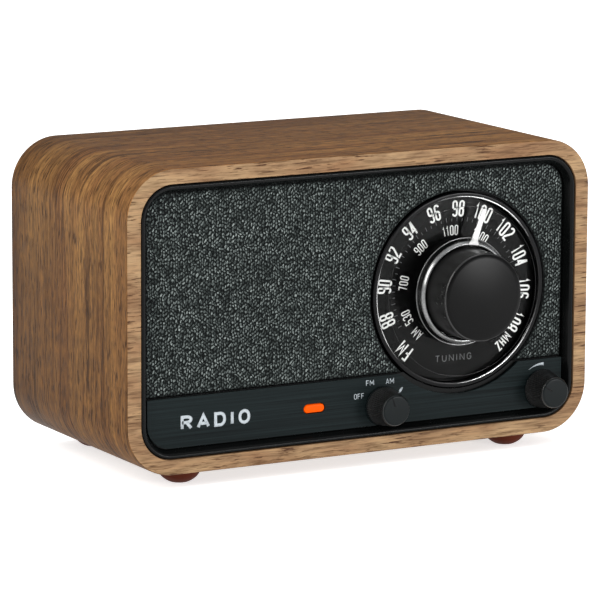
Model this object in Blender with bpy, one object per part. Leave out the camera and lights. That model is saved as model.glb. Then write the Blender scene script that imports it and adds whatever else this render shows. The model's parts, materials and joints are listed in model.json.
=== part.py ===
"""Tabletop radio: a wooden sleeve cabinet with a cloth grille, a round tuning dial and two knobs.

Sizes are in millimetres and become metres where meshes and locations are made. The frame is +X to
the listener's right, +Y to the back and +Z up, with the origin under the middle of the whole radio.
A place is given as x, depth behind the cabinet's front edge, and height above the cabinet's underside.
"""

from math import acos, cos, pi, radians, sin, sqrt, tan

import bmesh
import bpy
from mathutils import Matrix, Vector

MM = 0.001
GAP = 0.3                      # clearance between pieces that rest on each other

# Cabinet
WIDTH = 190.0
HEIGHT = 109.0
DEPTH = 94.0
CORNER_R = 18.0
WALL = 5.5
EDGE_ROUND = 0.8
CORNER_STEPS = 7

# Feet
FOOT_H = 5.5
FOOT_R = 8.1
FOOT_X = 68.0
FOOT_INSET = 13.0

# Front baffle: depths are measured back from the cabinet's front edge
BAFFLE_BACK = 8.8
GRILLE_FLOOR = 6.3
STRIP_FLOOR = 4.0
LIP_INSET = 1.7                # from the baffle's outer edge to the front opening
FLOOR_INSET = 3.0              # from the baffle's outer edge to the recessed opening

# Control strip and grille
STRIP_FRONT = 2.7
STRIP_THICK = 1.0
STRIP_TOP = 27.1
CLOTH_FRONT = 3.5
CLOTH_THICK = 0.6
BOARD_THICK = 1.6
SLOT_HEIGHT = 5.0              # sound slots in the grille board
SLOT_PITCH = 8.6

# Dial
DIAL_X = 41.8
DIAL_H = 55.7
DIAL_R = 36.0                  # outside of the glossy rim
DIAL_BORE_R = 34.4
STRIP_CUT_R = 38.1
PLATE_FRONT = 7.0
DISC_EDGE = 4.4                # where the clear disc's bevel ends, at its outer edge
DISC_FRONT = 0.7               # the clear disc's flat front
BEVEL_R = 31.4
COLLAR_R = 18.7
KNOB_R = 16.2
KNOB_PROUD = 14.7              # how far the tuning knob stands out of the cabinet's front edge

# Small knobs
SELECTOR_X = 9.6
VOLUME_X = 77.3
KNOBS_H = 16.1
SMALL_KNOB_BASE_R = 7.25
SMALL_KNOB_FACE_R = 5.7
SMALL_KNOB_LENGTH = 9.6
SHAFT_R = 3.0
BORE_R = SHAFT_R + GAP

# Light
LED_X = -18.8
LED_H = 17.9
LENS_W = 8.3
LENS_H = 3.0

# Threaded bushes and nuts
BUSH_R = 3.9                   # small controls
BUSH_HOLE_R = BUSH_R + GAP
NUT_FLATS = 10.2
STRIP_HOLE_R = 6.3             # clears the corners of the nut under each small knob
DIAL_BUSH_R = 4.5
DIAL_NUT_FLATS = 12.0
CONTROL_BODY = (9.1, 15.7)     # front and back depths of the switch and potentiometer

# Fasteners
SCREW_HOLE_R = 1.8
PILOT_R = 1.3

# Gears between the dial and the tuning capacitor
MODULE = 0.8
PINION_TEETH = 24
GEAR_TEETH = 32
GEAR_FRONT = 12.4
GEAR_THICK = 3.0
GEAR_DISTANCE = MODULE * (PINION_TEETH + GEAR_TEETH) / 2
PRESSURE_ANGLE = radians(20)

# Loudspeaker
SPEAKER_X = -42.0
SPEAKER_H = 62.0
SPEAKER_SQUARE = 77.0
SPEAKER_SCREW = 32.5           # screw holes from the speaker's centre, both ways
SPEAKER_FRONT = BAFFLE_BACK + GAP
FLANGE_THICK = 1.2
SPEAKER_HOLE_R = 33.0
CONE_R = 26.5
ROLL_R = 2.8                   # half width of the surround's roll
ROLL_DEPTH = 9.9

# Boards and rear cover
TUNER_BOARD = 16.2             # front face depth
PCB_THICK = 1.6
BOARD_SCREWS = ((6.0, 92.0), (79.0, 92.0), (43.0, 11.0))
COVER_FRONT = 89.0
COVER_THICK = 2.5
COVER_SCREWS = ((-83.0, 28.0), (83.0, 28.0), (-83.0, 82.0), (83.0, 82.0))
BATTEN_SIZE = 12.0
JACK_BOARD = 77.4
JACK_H = 24.0
DC_X = 44.0
AUX_X = 20.0
AERIAL_X = -12.0

# Derived places
CAB_FRONT = KNOB_PROUD - (DEPTH + KNOB_PROUD) / 2
BAFFLE_W = WIDTH - 2 * WALL - 2 * GAP
BAFFLE_H = HEIGHT - 2 * WALL - 2 * GAP
BAFFLE_R = CORNER_R - WALL - GAP
MID_H = HEIGHT / 2
FLOOR_HALF_W = BAFFLE_W / 2 - FLOOR_INSET
FLOOR_LOW = MID_H - BAFFLE_H / 2 + FLOOR_INSET
FLOOR_HIGH = MID_H + BAFFLE_H / 2 - FLOOR_INSET
FLOOR_R = BAFFLE_R - FLOOR_INSET


# ---------------------------------------------------------------- materials

def material(name, colour, roughness, metallic=0.0, alpha=1.0, glow=0.0):
    made = bpy.data.materials.new(name)
    made.use_nodes = True
    shader = made.node_tree.nodes["Principled BSDF"]
    shader.inputs["Base Color"].default_value = (*colour, 1.0)
    shader.inputs["Roughness"].default_value = roughness
    shader.inputs["Metallic"].default_value = metallic
    shader.inputs["Alpha"].default_value = alpha
    shader.inputs["Emission Color"].default_value = (*colour, 1.0)
    shader.inputs["Emission Strength"].default_value = glow
    return made


# ---------------------------------------------------------------- outlines in the X, height plane

def arc(centre_x, centre_h, radius, start, end, steps):
    angles = (start + (end - start) * i / steps for i in range(steps + 1))
    return [(centre_x + radius * cos(a), centre_h + radius * sin(a)) for a in angles]


def circle(radius, steps, x=0.0, h=0.0):
    return arc(x, h, radius, 0.0, 2 * pi, steps)[:-1]


def rounded_box(left, low, right, high, radii, steps=6):
    """Outline from four corner radii, in the order right-top, left-top, left-low, right-low."""
    corners = ((right, high, -1, -1), (left, high, 1, -1), (left, low, 1, 1), (right, low, -1, 1))
    outline = []
    for quarter, ((x, h, to_x, to_h), radius) in enumerate(zip(corners, radii)):
        start = quarter * pi / 2
        if radius == 0:
            outline.append((x, h))
        else:
            outline += arc(x + to_x * radius, h + to_h * radius, radius, start, start + pi / 2, steps)
    return outline


def pill(width, height, x=0.0, h=0.0):
    radius = height / 2
    return rounded_box(x - width / 2, h - radius, x + width / 2, h + radius, (radius,) * 4, 3)


def hexagon(across_flats):
    return circle(across_flats / 2 / cos(pi / 6), 6)


def gear_outline(teeth, tooth_at):
    """Involute teeth with one tooth centred on the angle tooth_at."""
    pitch_r = MODULE * teeth / 2
    base_r = pitch_r * cos(PRESSURE_ANGLE)
    tip_r = pitch_r + MODULE
    root_r = pitch_r - 1.25 * MODULE
    backlash = 0.15 / pitch_r
    half_tooth = pi / (2 * teeth) + tan(PRESSURE_ANGLE) - PRESSURE_ANGLE - backlash / 2
    outline = []
    for tooth in range(teeth):
        middle = tooth_at + 2 * pi * tooth / teeth
        flank = []
        for radius in (max(base_r, root_r), pitch_r, tip_r):
            roll = acos(min(1.0, base_r / radius))
            flank.append((radius, half_tooth - (tan(roll) - roll)))
        flank.insert(0, (root_r, half_tooth))
        angles = [(r, middle - a) for r, a in flank] + [(r, middle + a) for r, a in reversed(flank)]
        outline += [(r * cos(a), r * sin(a)) for r, a in angles]
    return outline


# ---------------------------------------------------------------- solids

def prism(bm, outline, front, back):
    """A closed body between two depths; outlines run anticlockwise seen from the front."""
    near = [bm.verts.new((x * MM, front * MM, h * MM)) for x, h in outline]
    far = [bm.verts.new((x * MM, back * MM, h * MM)) for x, h in outline]
    bm.faces.new(near)
    bm.faces.new(far[::-1])
    bridge(bm, near, far)


def bridge(bm, first, second):
    count = len(first)
    for i in range(count):
        after = (i + 1) % count
        bm.faces.new((first[i], second[i], second[after], first[after]))


def turn(bm, profile, steps):
    """Revolve (radius, depth) points about the depth axis; ends at radius 0 close on the axis."""
    verts = [bm.verts.new((r * MM, d * MM, 0.0)) for r, d in profile]
    open_ends = profile[0][0] == 0 and profile[-1][0] == 0
    pairs = zip(verts, verts[1:]) if open_ends else zip(verts, verts[1:] + verts[:1])
    edges = [bm.edges.new(pair) for pair in pairs]
    spin_axis = Vector((0, 1, 0))
    centre = Vector((0, 0, 0))
    bmesh.ops.spin(bm, geom=verts + edges, cent=centre, axis=spin_axis, angle=2 * pi,
                   steps=steps, use_merge=True, use_duplicate=False)


def finish(name, bm, surface, x=0.0, h=0.0):
    """Turn a bmesh into a named object whose origin is at x, the cabinet's front edge and height h."""
    bmesh.ops.remove_doubles(bm, verts=bm.verts, dist=1e-6)
    bmesh.ops.recalc_face_normals(bm, faces=bm.faces)
    mesh = bpy.data.meshes.new(name)
    bm.to_mesh(mesh)
    bm.free()
    mesh.materials.append(surface)
    mesh.shade_smooth()
    mesh.set_sharp_from_angle(angle=radians(35))
    made = bpy.data.objects.new(name, mesh)
    made.location = Vector((x, CAB_FRONT, FOOT_H + h)) * MM
    bpy.context.scene.collection.objects.link(made)
    return made


def turned(name, profile, surface, x=0.0, h=0.0, steps=24):
    bm = bmesh.new()
    turn(bm, profile, steps)
    return finish(name, bm, surface, x, h)


def extruded(name, outline, front, back, surface, x=0.0, h=0.0):
    bm = bmesh.new()
    prism(bm, outline, front, back)
    return finish(name, bm, surface, x, h)


def stacked(name, rings, surface, capped):
    """Rounded rectangles of the baffle's or cabinet's outline, joined in order.

    Each ring is (width, height, radius, depth). An uncapped stack closes on its first ring.
    """
    bm = bmesh.new()
    loops = []
    for width, height, radius, depth in rings:
        half = width / 2
        outline = rounded_box(-half, -height / 2, half, height / 2, (radius,) * 4, CORNER_STEPS)
        loops.append([bm.verts.new((x * MM, depth * MM, z * MM)) for x, z in outline])
    for first, second in zip(loops, loops[1:]):
        bridge(bm, first, second)
    if capped:
        bm.faces.new(loops[0])
        bm.faces.new(loops[-1][::-1])
    else:
        bridge(bm, loops[-1], loops[0])
    return finish(name, bm, surface, 0.0, MID_H)


def insets(width, height, radius, pairs):
    return [(width - 2 * i, height - 2 * i, radius - i, depth) for i, depth in pairs]


def shape_with(target, operation, label, bodies, x=0.0, h=0.0):
    """Cut or join with a hidden tool made of separate prisms: (outline, front, back) each."""
    bm = bmesh.new()
    for outline, front, back in bodies:
        prism(bm, outline, front, back)
    tool = finish(target.name + "_" + label, bm, target.data.materials[0], x, h)
    tool.hide_render = True
    tool.display_type = "WIRE"
    change = target.modifiers.new(label, "BOOLEAN")
    change.operation = operation
    change.solver = "EXACT"
    change.object = tool
    return tool


def cut(target, bodies, label="cutter", x=0.0, h=0.0):
    return shape_with(target, "DIFFERENCE", label, bodies, x, h)


def join(target, bodies, label="boss", x=0.0, h=0.0):
    return shape_with(target, "UNION", label, bodies, x, h)


def pan_screw(name, x, h, tip, seat, head_r, shank_r, surface):
    """A screw along the depth axis, tip to the front, with its head behind the seat depth."""
    top = seat + 1.6
    profile = [(0, tip), (shank_r, tip + shank_r), (shank_r, seat), (head_r, seat),
               (head_r * 0.7, top), (0, top)]
    return turned(name, profile, surface, x, h, steps=10)


# ---------------------------------------------------------------- cabinet, feet and battens

def build_cabinet(wood):
    r = EDGE_ROUND
    soft = r * (1 - cos(pi / 4))
    outside = [(r, 0), (soft, soft), (0, r), (0, DEPTH - r), (soft, DEPTH - soft), (r, DEPTH)]
    inside = [(WALL - 0.4, DEPTH), (WALL, DEPTH - 0.4), (WALL, 0.4), (WALL - 0.4, 0)]
    stacked("cabinet", insets(WIDTH, HEIGHT, CORNER_R, outside + inside), wood, capped=False)


def build_feet(rubber):
    top = FOOT_H - GAP
    profile = [(0, top), (FOOT_R, top), (7.7, 4.0), (6.8, 2.3), (5.2, 0.9), (3.4, 0), (0, 0)]
    places = (("front_left", -1, FOOT_INSET), ("front_right", 1, FOOT_INSET),
              ("rear_left", -1, DEPTH - FOOT_INSET), ("rear_right", 1, DEPTH - FOOT_INSET))
    for place, side, depth in places:
        foot = turned("foot_" + place, profile, rubber, steps=20)
        foot.data.transform(Matrix.Rotation(radians(90), 4, "X"))
        foot.location = Vector((side * FOOT_X, CAB_FRONT + depth, 0)) * MM


def build_battens(pine):
    for place, side in (("left", -1), ("right", 1)):
        middle = side * (BAFFLE_W - BATTEN_SIZE) / 2
        half = BATTEN_SIZE / 2
        outline = rounded_box(-half, 20.0, half, 90.0, (1.0,) * 4, 2)
        back = COVER_FRONT - GAP
        batten = extruded("batten_" + place, outline, back - BATTEN_SIZE, back, pine, middle)
        holes = [(circle(SCREW_HOLE_R, 10, x - middle, h), COVER_FRONT - 11.0, COVER_FRONT)
                 for x, h in COVER_SCREWS if x * side > 0]
        cut(batten, holes, x=middle)


# ---------------------------------------------------------------- front

def build_baffle(black):
    profile = [(FLOOR_INSET, STRIP_FLOOR), (FLOOR_INSET, 3.2), (LIP_INSET, 0.15), (LIP_INSET - 0.3, 0),
               (0.3, 0), (0, 0.3), (0, BAFFLE_BACK)]
    baffle = stacked("front_baffle", insets(BAFFLE_W, BAFFLE_H, BAFFLE_R, profile), black, capped=True)
    recess = rounded_box(-FLOOR_HALF_W, STRIP_TOP + GAP, FLOOR_HALF_W, FLOOR_HIGH,
                         (FLOOR_R, FLOOR_R, 0, 0))
    cut(baffle, [(recess, STRIP_FLOOR - 0.5, GRILLE_FLOOR)], "grille_recess")
    back = BAFFLE_BACK + 1.0
    front = STRIP_FLOOR - 1.0
    holes = [(circle(DIAL_R + 0.4, 40, DIAL_X, DIAL_H), front, back),
             (circle(SPEAKER_HOLE_R, 32, SPEAKER_X, SPEAKER_H), front, back),
             (circle(BUSH_HOLE_R, 16, SELECTOR_X, KNOBS_H), front, back),
             (circle(BUSH_HOLE_R, 16, VOLUME_X, KNOBS_H), front, back),
             (pill(LENS_W + 2 * GAP, LENS_H + 2 * GAP, LED_X, LED_H), front, back)]
    cut(baffle, holes, "holes")
    posts = [(circle(3.0, 12, x, h), BAFFLE_BACK - 1.0, TUNER_BOARD - GAP) for x, h in BOARD_SCREWS]
    join(baffle, posts, "posts")
    pilots = [(circle(PILOT_R, 8, x, h), BAFFLE_BACK - 0.5, TUNER_BOARD + 1.0) for x, h in BOARD_SCREWS]
    pilots += [(circle(PILOT_R, 8, x, h), BAFFLE_BACK - 1.5, back) for x, h in speaker_screw_places()]
    cut(baffle, pilots, "pilot_holes")


def build_strip(metal):
    half = FLOOR_HALF_W - GAP
    outline = rounded_box(-half, FLOOR_LOW + GAP, half, STRIP_TOP, (0, 0, FLOOR_R - GAP, FLOOR_R - GAP))
    strip = extruded("control_strip", outline, STRIP_FRONT, STRIP_FRONT + STRIP_THICK, metal)
    front = STRIP_FRONT - 1.0
    back = STRIP_FLOOR
    holes = [(circle(STRIP_CUT_R, 72, DIAL_X, DIAL_H), front, back),
             (circle(STRIP_HOLE_R, 18, SELECTOR_X, KNOBS_H), front, back),
             (circle(STRIP_HOLE_R, 18, VOLUME_X, KNOBS_H), front, back),
             (pill(LENS_W + 2 * GAP, LENS_H + 2 * GAP, LED_X, LED_H), front, back)]
    cut(strip, holes)


def grille_outline():
    half = FLOOR_HALF_W - GAP
    radius = FLOOR_R - GAP
    return rounded_box(-half, STRIP_TOP + 2 * GAP, half, FLOOR_HIGH - GAP, (radius, radius, 0, 0))


def build_grille(board_plastic, cloth_fabric):
    board_front = CLOTH_FRONT + CLOTH_THICK + GAP
    board_back = board_front + BOARD_THICK
    board = extruded("grille_board", grille_outline(), board_front, board_back, board_plastic)
    cloth = extruded("grille_cloth", grille_outline(), CLOTH_FRONT, CLOTH_FRONT + CLOTH_THICK, cloth_fabric)
    dial_cut = circle(DIAL_R + 0.9, 64, DIAL_X, DIAL_H)
    cut(cloth, [(dial_cut, CLOTH_FRONT - 1, CLOTH_FRONT + 2)])
    slots = []
    for row in range(-3, 4):
        above = row * SLOT_PITCH
        half_chord = sqrt((SPEAKER_HOLE_R - 1.0) ** 2 - above ** 2)
        slot = pill(2 * half_chord, SLOT_HEIGHT, SPEAKER_X, SPEAKER_H + above)
        slots.append((slot, board_front - 1, board_back + 1))
    cut(board, slots + [(dial_cut, board_front - 1, board_back + 1)])


def build_light(orange, clear):
    front = STRIP_FRONT - 0.15
    extruded("led_lens", pill(LENS_W, LENS_H), front, 8.6, orange, LED_X, LED_H)
    body = [(0, 8.9), (1.2, 9.2), (1.9, 10.4), (1.9, 14.6), (2.3, 14.6), (2.3, 15.9), (0, 15.9)]
    turned("indicator_led", body, clear, LED_X, LED_H, steps=14)


# ---------------------------------------------------------------- dial and tuning train

def build_dial(gloss_black, plate_black, acrylic, knob_black, steel, brass):
    bore = DIAL_BORE_R
    floor = PLATE_FRONT + 1.3
    hole = DIAL_BUSH_R + GAP
    flange = BAFFLE_BACK + GAP
    flange_r = DIAL_R + 2.4
    cup = [(hole, floor), (bore, floor), (bore, 4.6), (bore + 0.3, 3.8), (bore + 0.8, 3.5),
           (DIAL_R - 0.3, 3.8), (DIAL_R, 4.6), (DIAL_R, flange), (flange_r, flange),
           (flange_r, floor + 2.0), (hole, floor + 2.0)]
    turned("dial_housing", cup, gloss_black, DIAL_X, DIAL_H, steps=44)
    plate_hole = DIAL_NUT_FLATS / 2 + 1.2
    plate = [(plate_hole, PLATE_FRONT), (bore - GAP, PLATE_FRONT), (bore - GAP, PLATE_FRONT + 1.0),
             (plate_hole, PLATE_FRONT + 1.0)]
    turned("dial_plate", plate, plate_black, DIAL_X, DIAL_H, steps=40)
    back = DISC_EDGE + 1.2
    disc = [(BORE_R, back), (bore - 0.5, back), (bore - 0.5, DISC_EDGE), (BEVEL_R, DISC_FRONT + 0.2),
            (BEVEL_R - 0.4, DISC_FRONT), (COLLAR_R + 0.9, DISC_FRONT), (COLLAR_R, -2.0),
            (COLLAR_R - 0.6, -2.3), (COLLAR_R - 1.2, -2.3), (COLLAR_R - 1.4, -2.0),
            (COLLAR_R - 1.4, DISC_EDGE - 1.2), (BORE_R, DISC_EDGE - 1.2)]
    turned("pointer_disc", disc, acrylic, DIAL_X, DIAL_H, steps=40)
    face = -KNOB_PROUD
    rim = DISC_EDGE - 1.8
    hub_r = 5.8
    knob = [(0, face), (KNOB_R - 0.8, face), (KNOB_R - 0.2, face + 0.25), (KNOB_R, face + 0.9),
            (KNOB_R + 0.3, rim), (KNOB_R - 1.7, rim), (KNOB_R - 1.8, face + 2.8), (hub_r, face + 2.8),
            (hub_r, rim), (BORE_R, rim), (BORE_R, face + 6.3), (0, face + 6.3)]
    turned("tuning_knob", knob, knob_black, DIAL_X, DIAL_H, steps=36)
    shaft("tuning_shaft", DIAL_X, DIAL_H, face + 6.6, TUNER_BOARD - 0.4, steel)
    behind = floor + 2.0 + GAP
    bush = [(BORE_R, 6.1), (DIAL_BUSH_R, 6.1), (DIAL_BUSH_R, behind), (7.0, behind),
            (7.0, behind + 1.5), (BORE_R, behind + 1.5)]
    turned("tuning_bush", bush, brass, DIAL_X, DIAL_H, steps=18)
    nut = extruded("tuning_nut", hexagon(DIAL_NUT_FLATS), floor - 2.0, floor - GAP, brass, DIAL_X, DIAL_H)
    cut(nut, [(circle(hole, 18), floor - 3.0, floor + 1.0)], x=DIAL_X, h=DIAL_H)


def shaft(name, x, h, front, back, steel):
    profile = [(0, front), (SHAFT_R - 0.4, front), (SHAFT_R, front + 0.4), (SHAFT_R, back), (0, back)]
    turned(name, profile, steel, x, h, steps=16)


def build_tuning_train(nylon, steel, capacitor_plastic):
    back = GEAR_FRONT + GEAR_THICK
    capacitor_h = DIAL_H + GEAR_DISTANCE
    pinion = extruded("tuning_pinion", gear_outline(PINION_TEETH, pi / 2), GEAR_FRONT, back, nylon,
                      DIAL_X, DIAL_H)
    half_pitch = pi / GEAR_TEETH
    gear = extruded("capacitor_gear", gear_outline(GEAR_TEETH, half_pitch - pi / 2), GEAR_FRONT, back, nylon,
                    DIAL_X, capacitor_h)
    for wheel, height in ((pinion, DIAL_H), (gear, capacitor_h)):
        cut(wheel, [(circle(BORE_R, 18), GEAR_FRONT - 1, back + 1)], x=DIAL_X, h=height)
    shaft("capacitor_shaft", DIAL_X, capacitor_h, 11.4, 23.5, steel)
    body = rounded_box(-11.0, -11.0, 11.0, 11.0, (1.0,) * 4, 2)
    front = TUNER_BOARD + PCB_THICK + GAP
    capacitor = extruded("tuning_capacitor", body, front, front + 14.0, capacitor_plastic,
                         DIAL_X, capacitor_h)
    cut(capacitor, [(circle(BORE_R, 18), front - 1, 24.0)], x=DIAL_X, h=capacitor_h)


# ---------------------------------------------------------------- selector and volume

def small_knob_profile():
    base = STRIP_FRONT - 0.4
    face = base - SMALL_KNOB_LENGTH
    return [(0, face), (SMALL_KNOB_FACE_R - 0.5, face), (SMALL_KNOB_FACE_R, face + 0.4),
            (SMALL_KNOB_BASE_R, base), (STRIP_HOLE_R, base), (STRIP_HOLE_R, base - 0.9),
            (BORE_R, base - 0.9), (BORE_R, face + 2.8), (0, face + 2.8)]


def build_controls(knob_black, steel, brass, plastic):
    for name, x in (("selector", SELECTOR_X), ("volume", VOLUME_X)):
        turned(name + "_knob", small_knob_profile(), knob_black, x, KNOBS_H, steps=28)
        shaft(name + "_shaft", x, KNOBS_H, -4.2, 14.2, steel)
        nut = extruded(name + "_nut", hexagon(NUT_FLATS), 2.0, STRIP_FLOOR - GAP, brass, x, KNOBS_H)
        cut(nut, [(circle(BUSH_HOLE_R, 16), 1.0, 5.0)], x=x, h=KNOBS_H)
    front, back = CONTROL_BODY
    bush_front = STRIP_FRONT - 0.9
    bore_end = back - 1.2
    can = [(0, back), (8.5, back), (8.5, front), (BUSH_R, front), (BUSH_R, bush_front),
           (BORE_R, bush_front), (BORE_R, bore_end), (0, bore_end)]
    turned("volume_potentiometer", can, steel, VOLUME_X, KNOBS_H, steps=20)
    box = rounded_box(-8.5, -8.0, 8.5, 8.0, (1.0,) * 4, 2)
    switch = extruded("selector_switch", box, front, back, plastic, SELECTOR_X, KNOBS_H)
    join(switch, [(circle(BUSH_R, 18), bush_front, front + 2.0)], "bush", SELECTOR_X, KNOBS_H)
    cut(switch, [(circle(BORE_R, 18), bush_front - 1.0, bore_end)], "bore", SELECTOR_X, KNOBS_H)


# ---------------------------------------------------------------- loudspeaker

def speaker_screw_places():
    return [(SPEAKER_X + i * SPEAKER_SCREW, SPEAKER_H + j * SPEAKER_SCREW) for j in (1, -1) for i in (-1, 1)]


def build_speaker(pressed_steel, ferrite, steel, paper, foam, felt, copper):
    front = SPEAKER_FRONT
    half = SPEAKER_SQUARE / 2
    back = front + FLANGE_THICK
    inner_r = SPEAKER_HOLE_R - 0.2
    cone_wall = [(inner_r, front), (36.5, front), (36.5, back), (34.3, back), (21.8, 28.5),
                 (12.2, 28.5), (12.2, 27.3), (20.9, 27.3), (inner_r, front + 0.9)]
    basket = turned("speaker_basket", cone_wall, pressed_steel, SPEAKER_X, SPEAKER_H, steps=32)
    square = rounded_box(-half, -half, half, half, (8.0,) * 4, 4)
    flange = extruded("speaker_basket_flange", square, front, back, pressed_steel, SPEAKER_X, SPEAKER_H)
    flange.hide_render = True
    flange.display_type = "WIRE"
    cut(flange, [(circle(35.0, 32), front - 1, front + 3)], "opening", SPEAKER_X, SPEAKER_H)
    weld = basket.modifiers.new("flange", "BOOLEAN")
    weld.operation = "UNION"
    weld.solver = "EXACT"
    weld.object = flange
    windows = []
    for quarter in range(4):
        middle = quarter * pi / 2
        near = arc(0, 0, 17.0, middle - 0.5, middle + 0.5, 3)
        far = arc(0, 0, 31.5, middle + 0.5, middle - 0.5, 3)
        windows.append((near + far, 14.5, 25.5))
    screws = [(circle(PILOT_R + GAP, 8, x - SPEAKER_X, h - SPEAKER_H), front - 1, front + 3)
              for x, h in speaker_screw_places()]
    cut(basket, windows + screws, "windows", SPEAKER_X, SPEAKER_H)
    for number, (x, h) in enumerate(speaker_screw_places(), 1):
        pan_screw(f"speaker_screw_{number}", x, h, front - 1.2, back + GAP, 3.0, 1.0, steel)

    ring = [(11.5, 28.8), (23.0, 28.8), (23.0, 38.8), (11.5, 38.8)]
    turned("speaker_magnet", ring, ferrite, SPEAKER_X, SPEAKER_H, steps=32)
    yoke = [(0, 29.3), (8.2, 29.3), (8.2, 39.1), (20.0, 39.1), (20.0, 42.1), (0, 42.1)]
    turned("speaker_yoke", yoke, steel, SPEAKER_X, SPEAKER_H, steps=28)
    cone = [(CONE_R, 9.7), (CONE_R, 10.4), (9.8, 24.9), (9.8, 24.1)]
    turned("speaker_cone", cone, paper, SPEAKER_X, SPEAKER_H, steps=32)
    coil = [(8.8, 23.0), (9.4, 23.0), (9.4, 35.0), (8.8, 35.0)]
    turned("voice_coil", coil, copper, SPEAKER_X, SPEAKER_H, steps=20)
    outer = [(12.0 * sin(a), 22.0 - 4.0 * cos(a)) for a in (0, 0.5, 1.0, pi / 2)]
    inner = [(r * 0.95, d + 0.5) for r, d in reversed(outer[1:])] + [(0, outer[0][1] + 0.5)]
    turned("dust_cap", outer + inner, felt, SPEAKER_X, SPEAKER_H, steps=18)
    middle = CONE_R + GAP + ROLL_R
    roll = arc(middle, ROLL_DEPTH, ROLL_R, pi, 2 * pi, 4)
    roll += arc(middle, ROLL_DEPTH, ROLL_R - 0.5, 2 * pi, pi, 4)
    turned("speaker_surround", roll, foam, SPEAKER_X, SPEAKER_H, steps=28)


# ---------------------------------------------------------------- boards and aerial

def build_boards(pcb, steel, ferrite, copper, plastic):
    low = 8.5
    outline = [(-26.0, low), (80.0, low), (85.0, 13.5), (85.0, 92.0), (79.0, 98.0), (1.0, 98.0),
               (1.0, 21.0), (-26.0, 21.0)]
    back = TUNER_BOARD + PCB_THICK
    board = extruded("tuner_board", outline, TUNER_BOARD, back, pcb)
    holes = [(circle(PILOT_R + GAP, 8, x, h), TUNER_BOARD - 1, back + 1) for x, h in BOARD_SCREWS]
    holes.append((circle(SHAFT_R + 1.5, 16, DIAL_X, DIAL_H + GEAR_DISTANCE), TUNER_BOARD - 1, back + 1))
    cut(board, holes)
    for number, (x, h) in enumerate(BOARD_SCREWS, 1):
        pan_screw(f"board_screw_{number}", x, h, BAFFLE_BACK + 0.2, back + GAP, 2.6, 1.0, steel)

    rod_h = 94.0
    rod_depth = 25.5
    for place, x in (("left", 15.0), ("right", 70.0)):
        outline = rounded_box(-7.1, -6.0, 6.0, 6.0, (1.5, 0, 0, 1.5), 3)
        clip = extruded("ferrite_clip_" + place, outline, -2.0, 2.0, plastic)
        hole = cut(clip, [(circle(4.3, 18), -3.0, 3.0)])
        for piece in (clip, hole):
            lay_along_x(piece, x, rod_depth, rod_h)
    rod = turned("ferrite_rod", [(0, 0), (4.0, 0), (4.0, 70.0), (0, 70.0)], ferrite, steps=18)
    lay_along_x(rod, 8.0, rod_depth, rod_h)
    coil = turned("antenna_coil", [(4.3, 0), (5.4, 0), (5.4, 11.0), (4.3, 11.0)], copper, steps=18)
    lay_along_x(coil, 56.0, rod_depth, rod_h)


def lay_along_x(piece, x, depth, h):
    """Turn a piece made along the depth axis so that it runs along +X from x."""
    piece.rotation_euler = (0, 0, radians(-90))
    piece.location = Vector((x, CAB_FRONT + depth, FOOT_H + h)) * MM


def build_rear(cover_plastic, pcb, steel, plastic, nickel):
    back = COVER_FRONT + COVER_THICK
    profile = [(0.4, COVER_FRONT), (0, COVER_FRONT + 0.4), (0, back - 0.4), (0.4, back)]
    cover = stacked("rear_cover", insets(BAFFLE_W, BAFFLE_H, BAFFLE_R, profile), cover_plastic, capped=True)
    holes = [(circle(SCREW_HOLE_R, 10, x, h), COVER_FRONT - 1, back + 1) for x, h in COVER_SCREWS]
    for x, radius in ((DC_X, 5.8), (AUX_X, 4.3), (AERIAL_X, 5.1)):
        holes.append((circle(radius, 20, x, JACK_H), COVER_FRONT - 1, back + 1))
    cut(cover, holes)
    for number, (x, h) in enumerate(COVER_SCREWS, 1):
        pan_screw(f"rear_screw_{number}", x, h, COVER_FRONT - 9.0, back + GAP, 3.2, 1.5, steel)

    outline = rounded_box(-24.0, 12.0, 56.0, 36.0, (2.0,) * 4, 2)
    extruded("jack_board", outline, JACK_BOARD, JACK_BOARD + PCB_THICK, pcb)
    start = JACK_BOARD + PCB_THICK + GAP
    stop = COVER_FRONT - GAP
    inlet = [(0, start), (6.5, start), (6.5, stop), (5.5, stop), (5.5, 93.2), (3.2, 93.2), (3.2, 84.0),
             (1.0, 84.0), (1.0, 92.4), (0, 92.4)]
    turned("dc_inlet", inlet, plastic, DC_X, JACK_H, steps=20)
    aux = [(0, start), (5.5, start), (5.5, stop), (4.0, stop), (4.0, 93.2), (1.9, 93.2), (1.9, 82.0),
           (0, 82.0)]
    turned("aux_jack", aux, plastic, AUX_X, JACK_H, steps=20)
    aerial = [(0, start), (6.0, start), (6.0, stop), (4.8, stop), (4.8, 93.4), (4.0, 93.4), (4.0, 90.0),
              (0.9, 90.0), (0.9, 88.0), (0, 88.0)]
    turned("antenna_terminal", aerial, nickel, AERIAL_X, JACK_H, steps=20)


# ---------------------------------------------------------------- the radio

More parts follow.
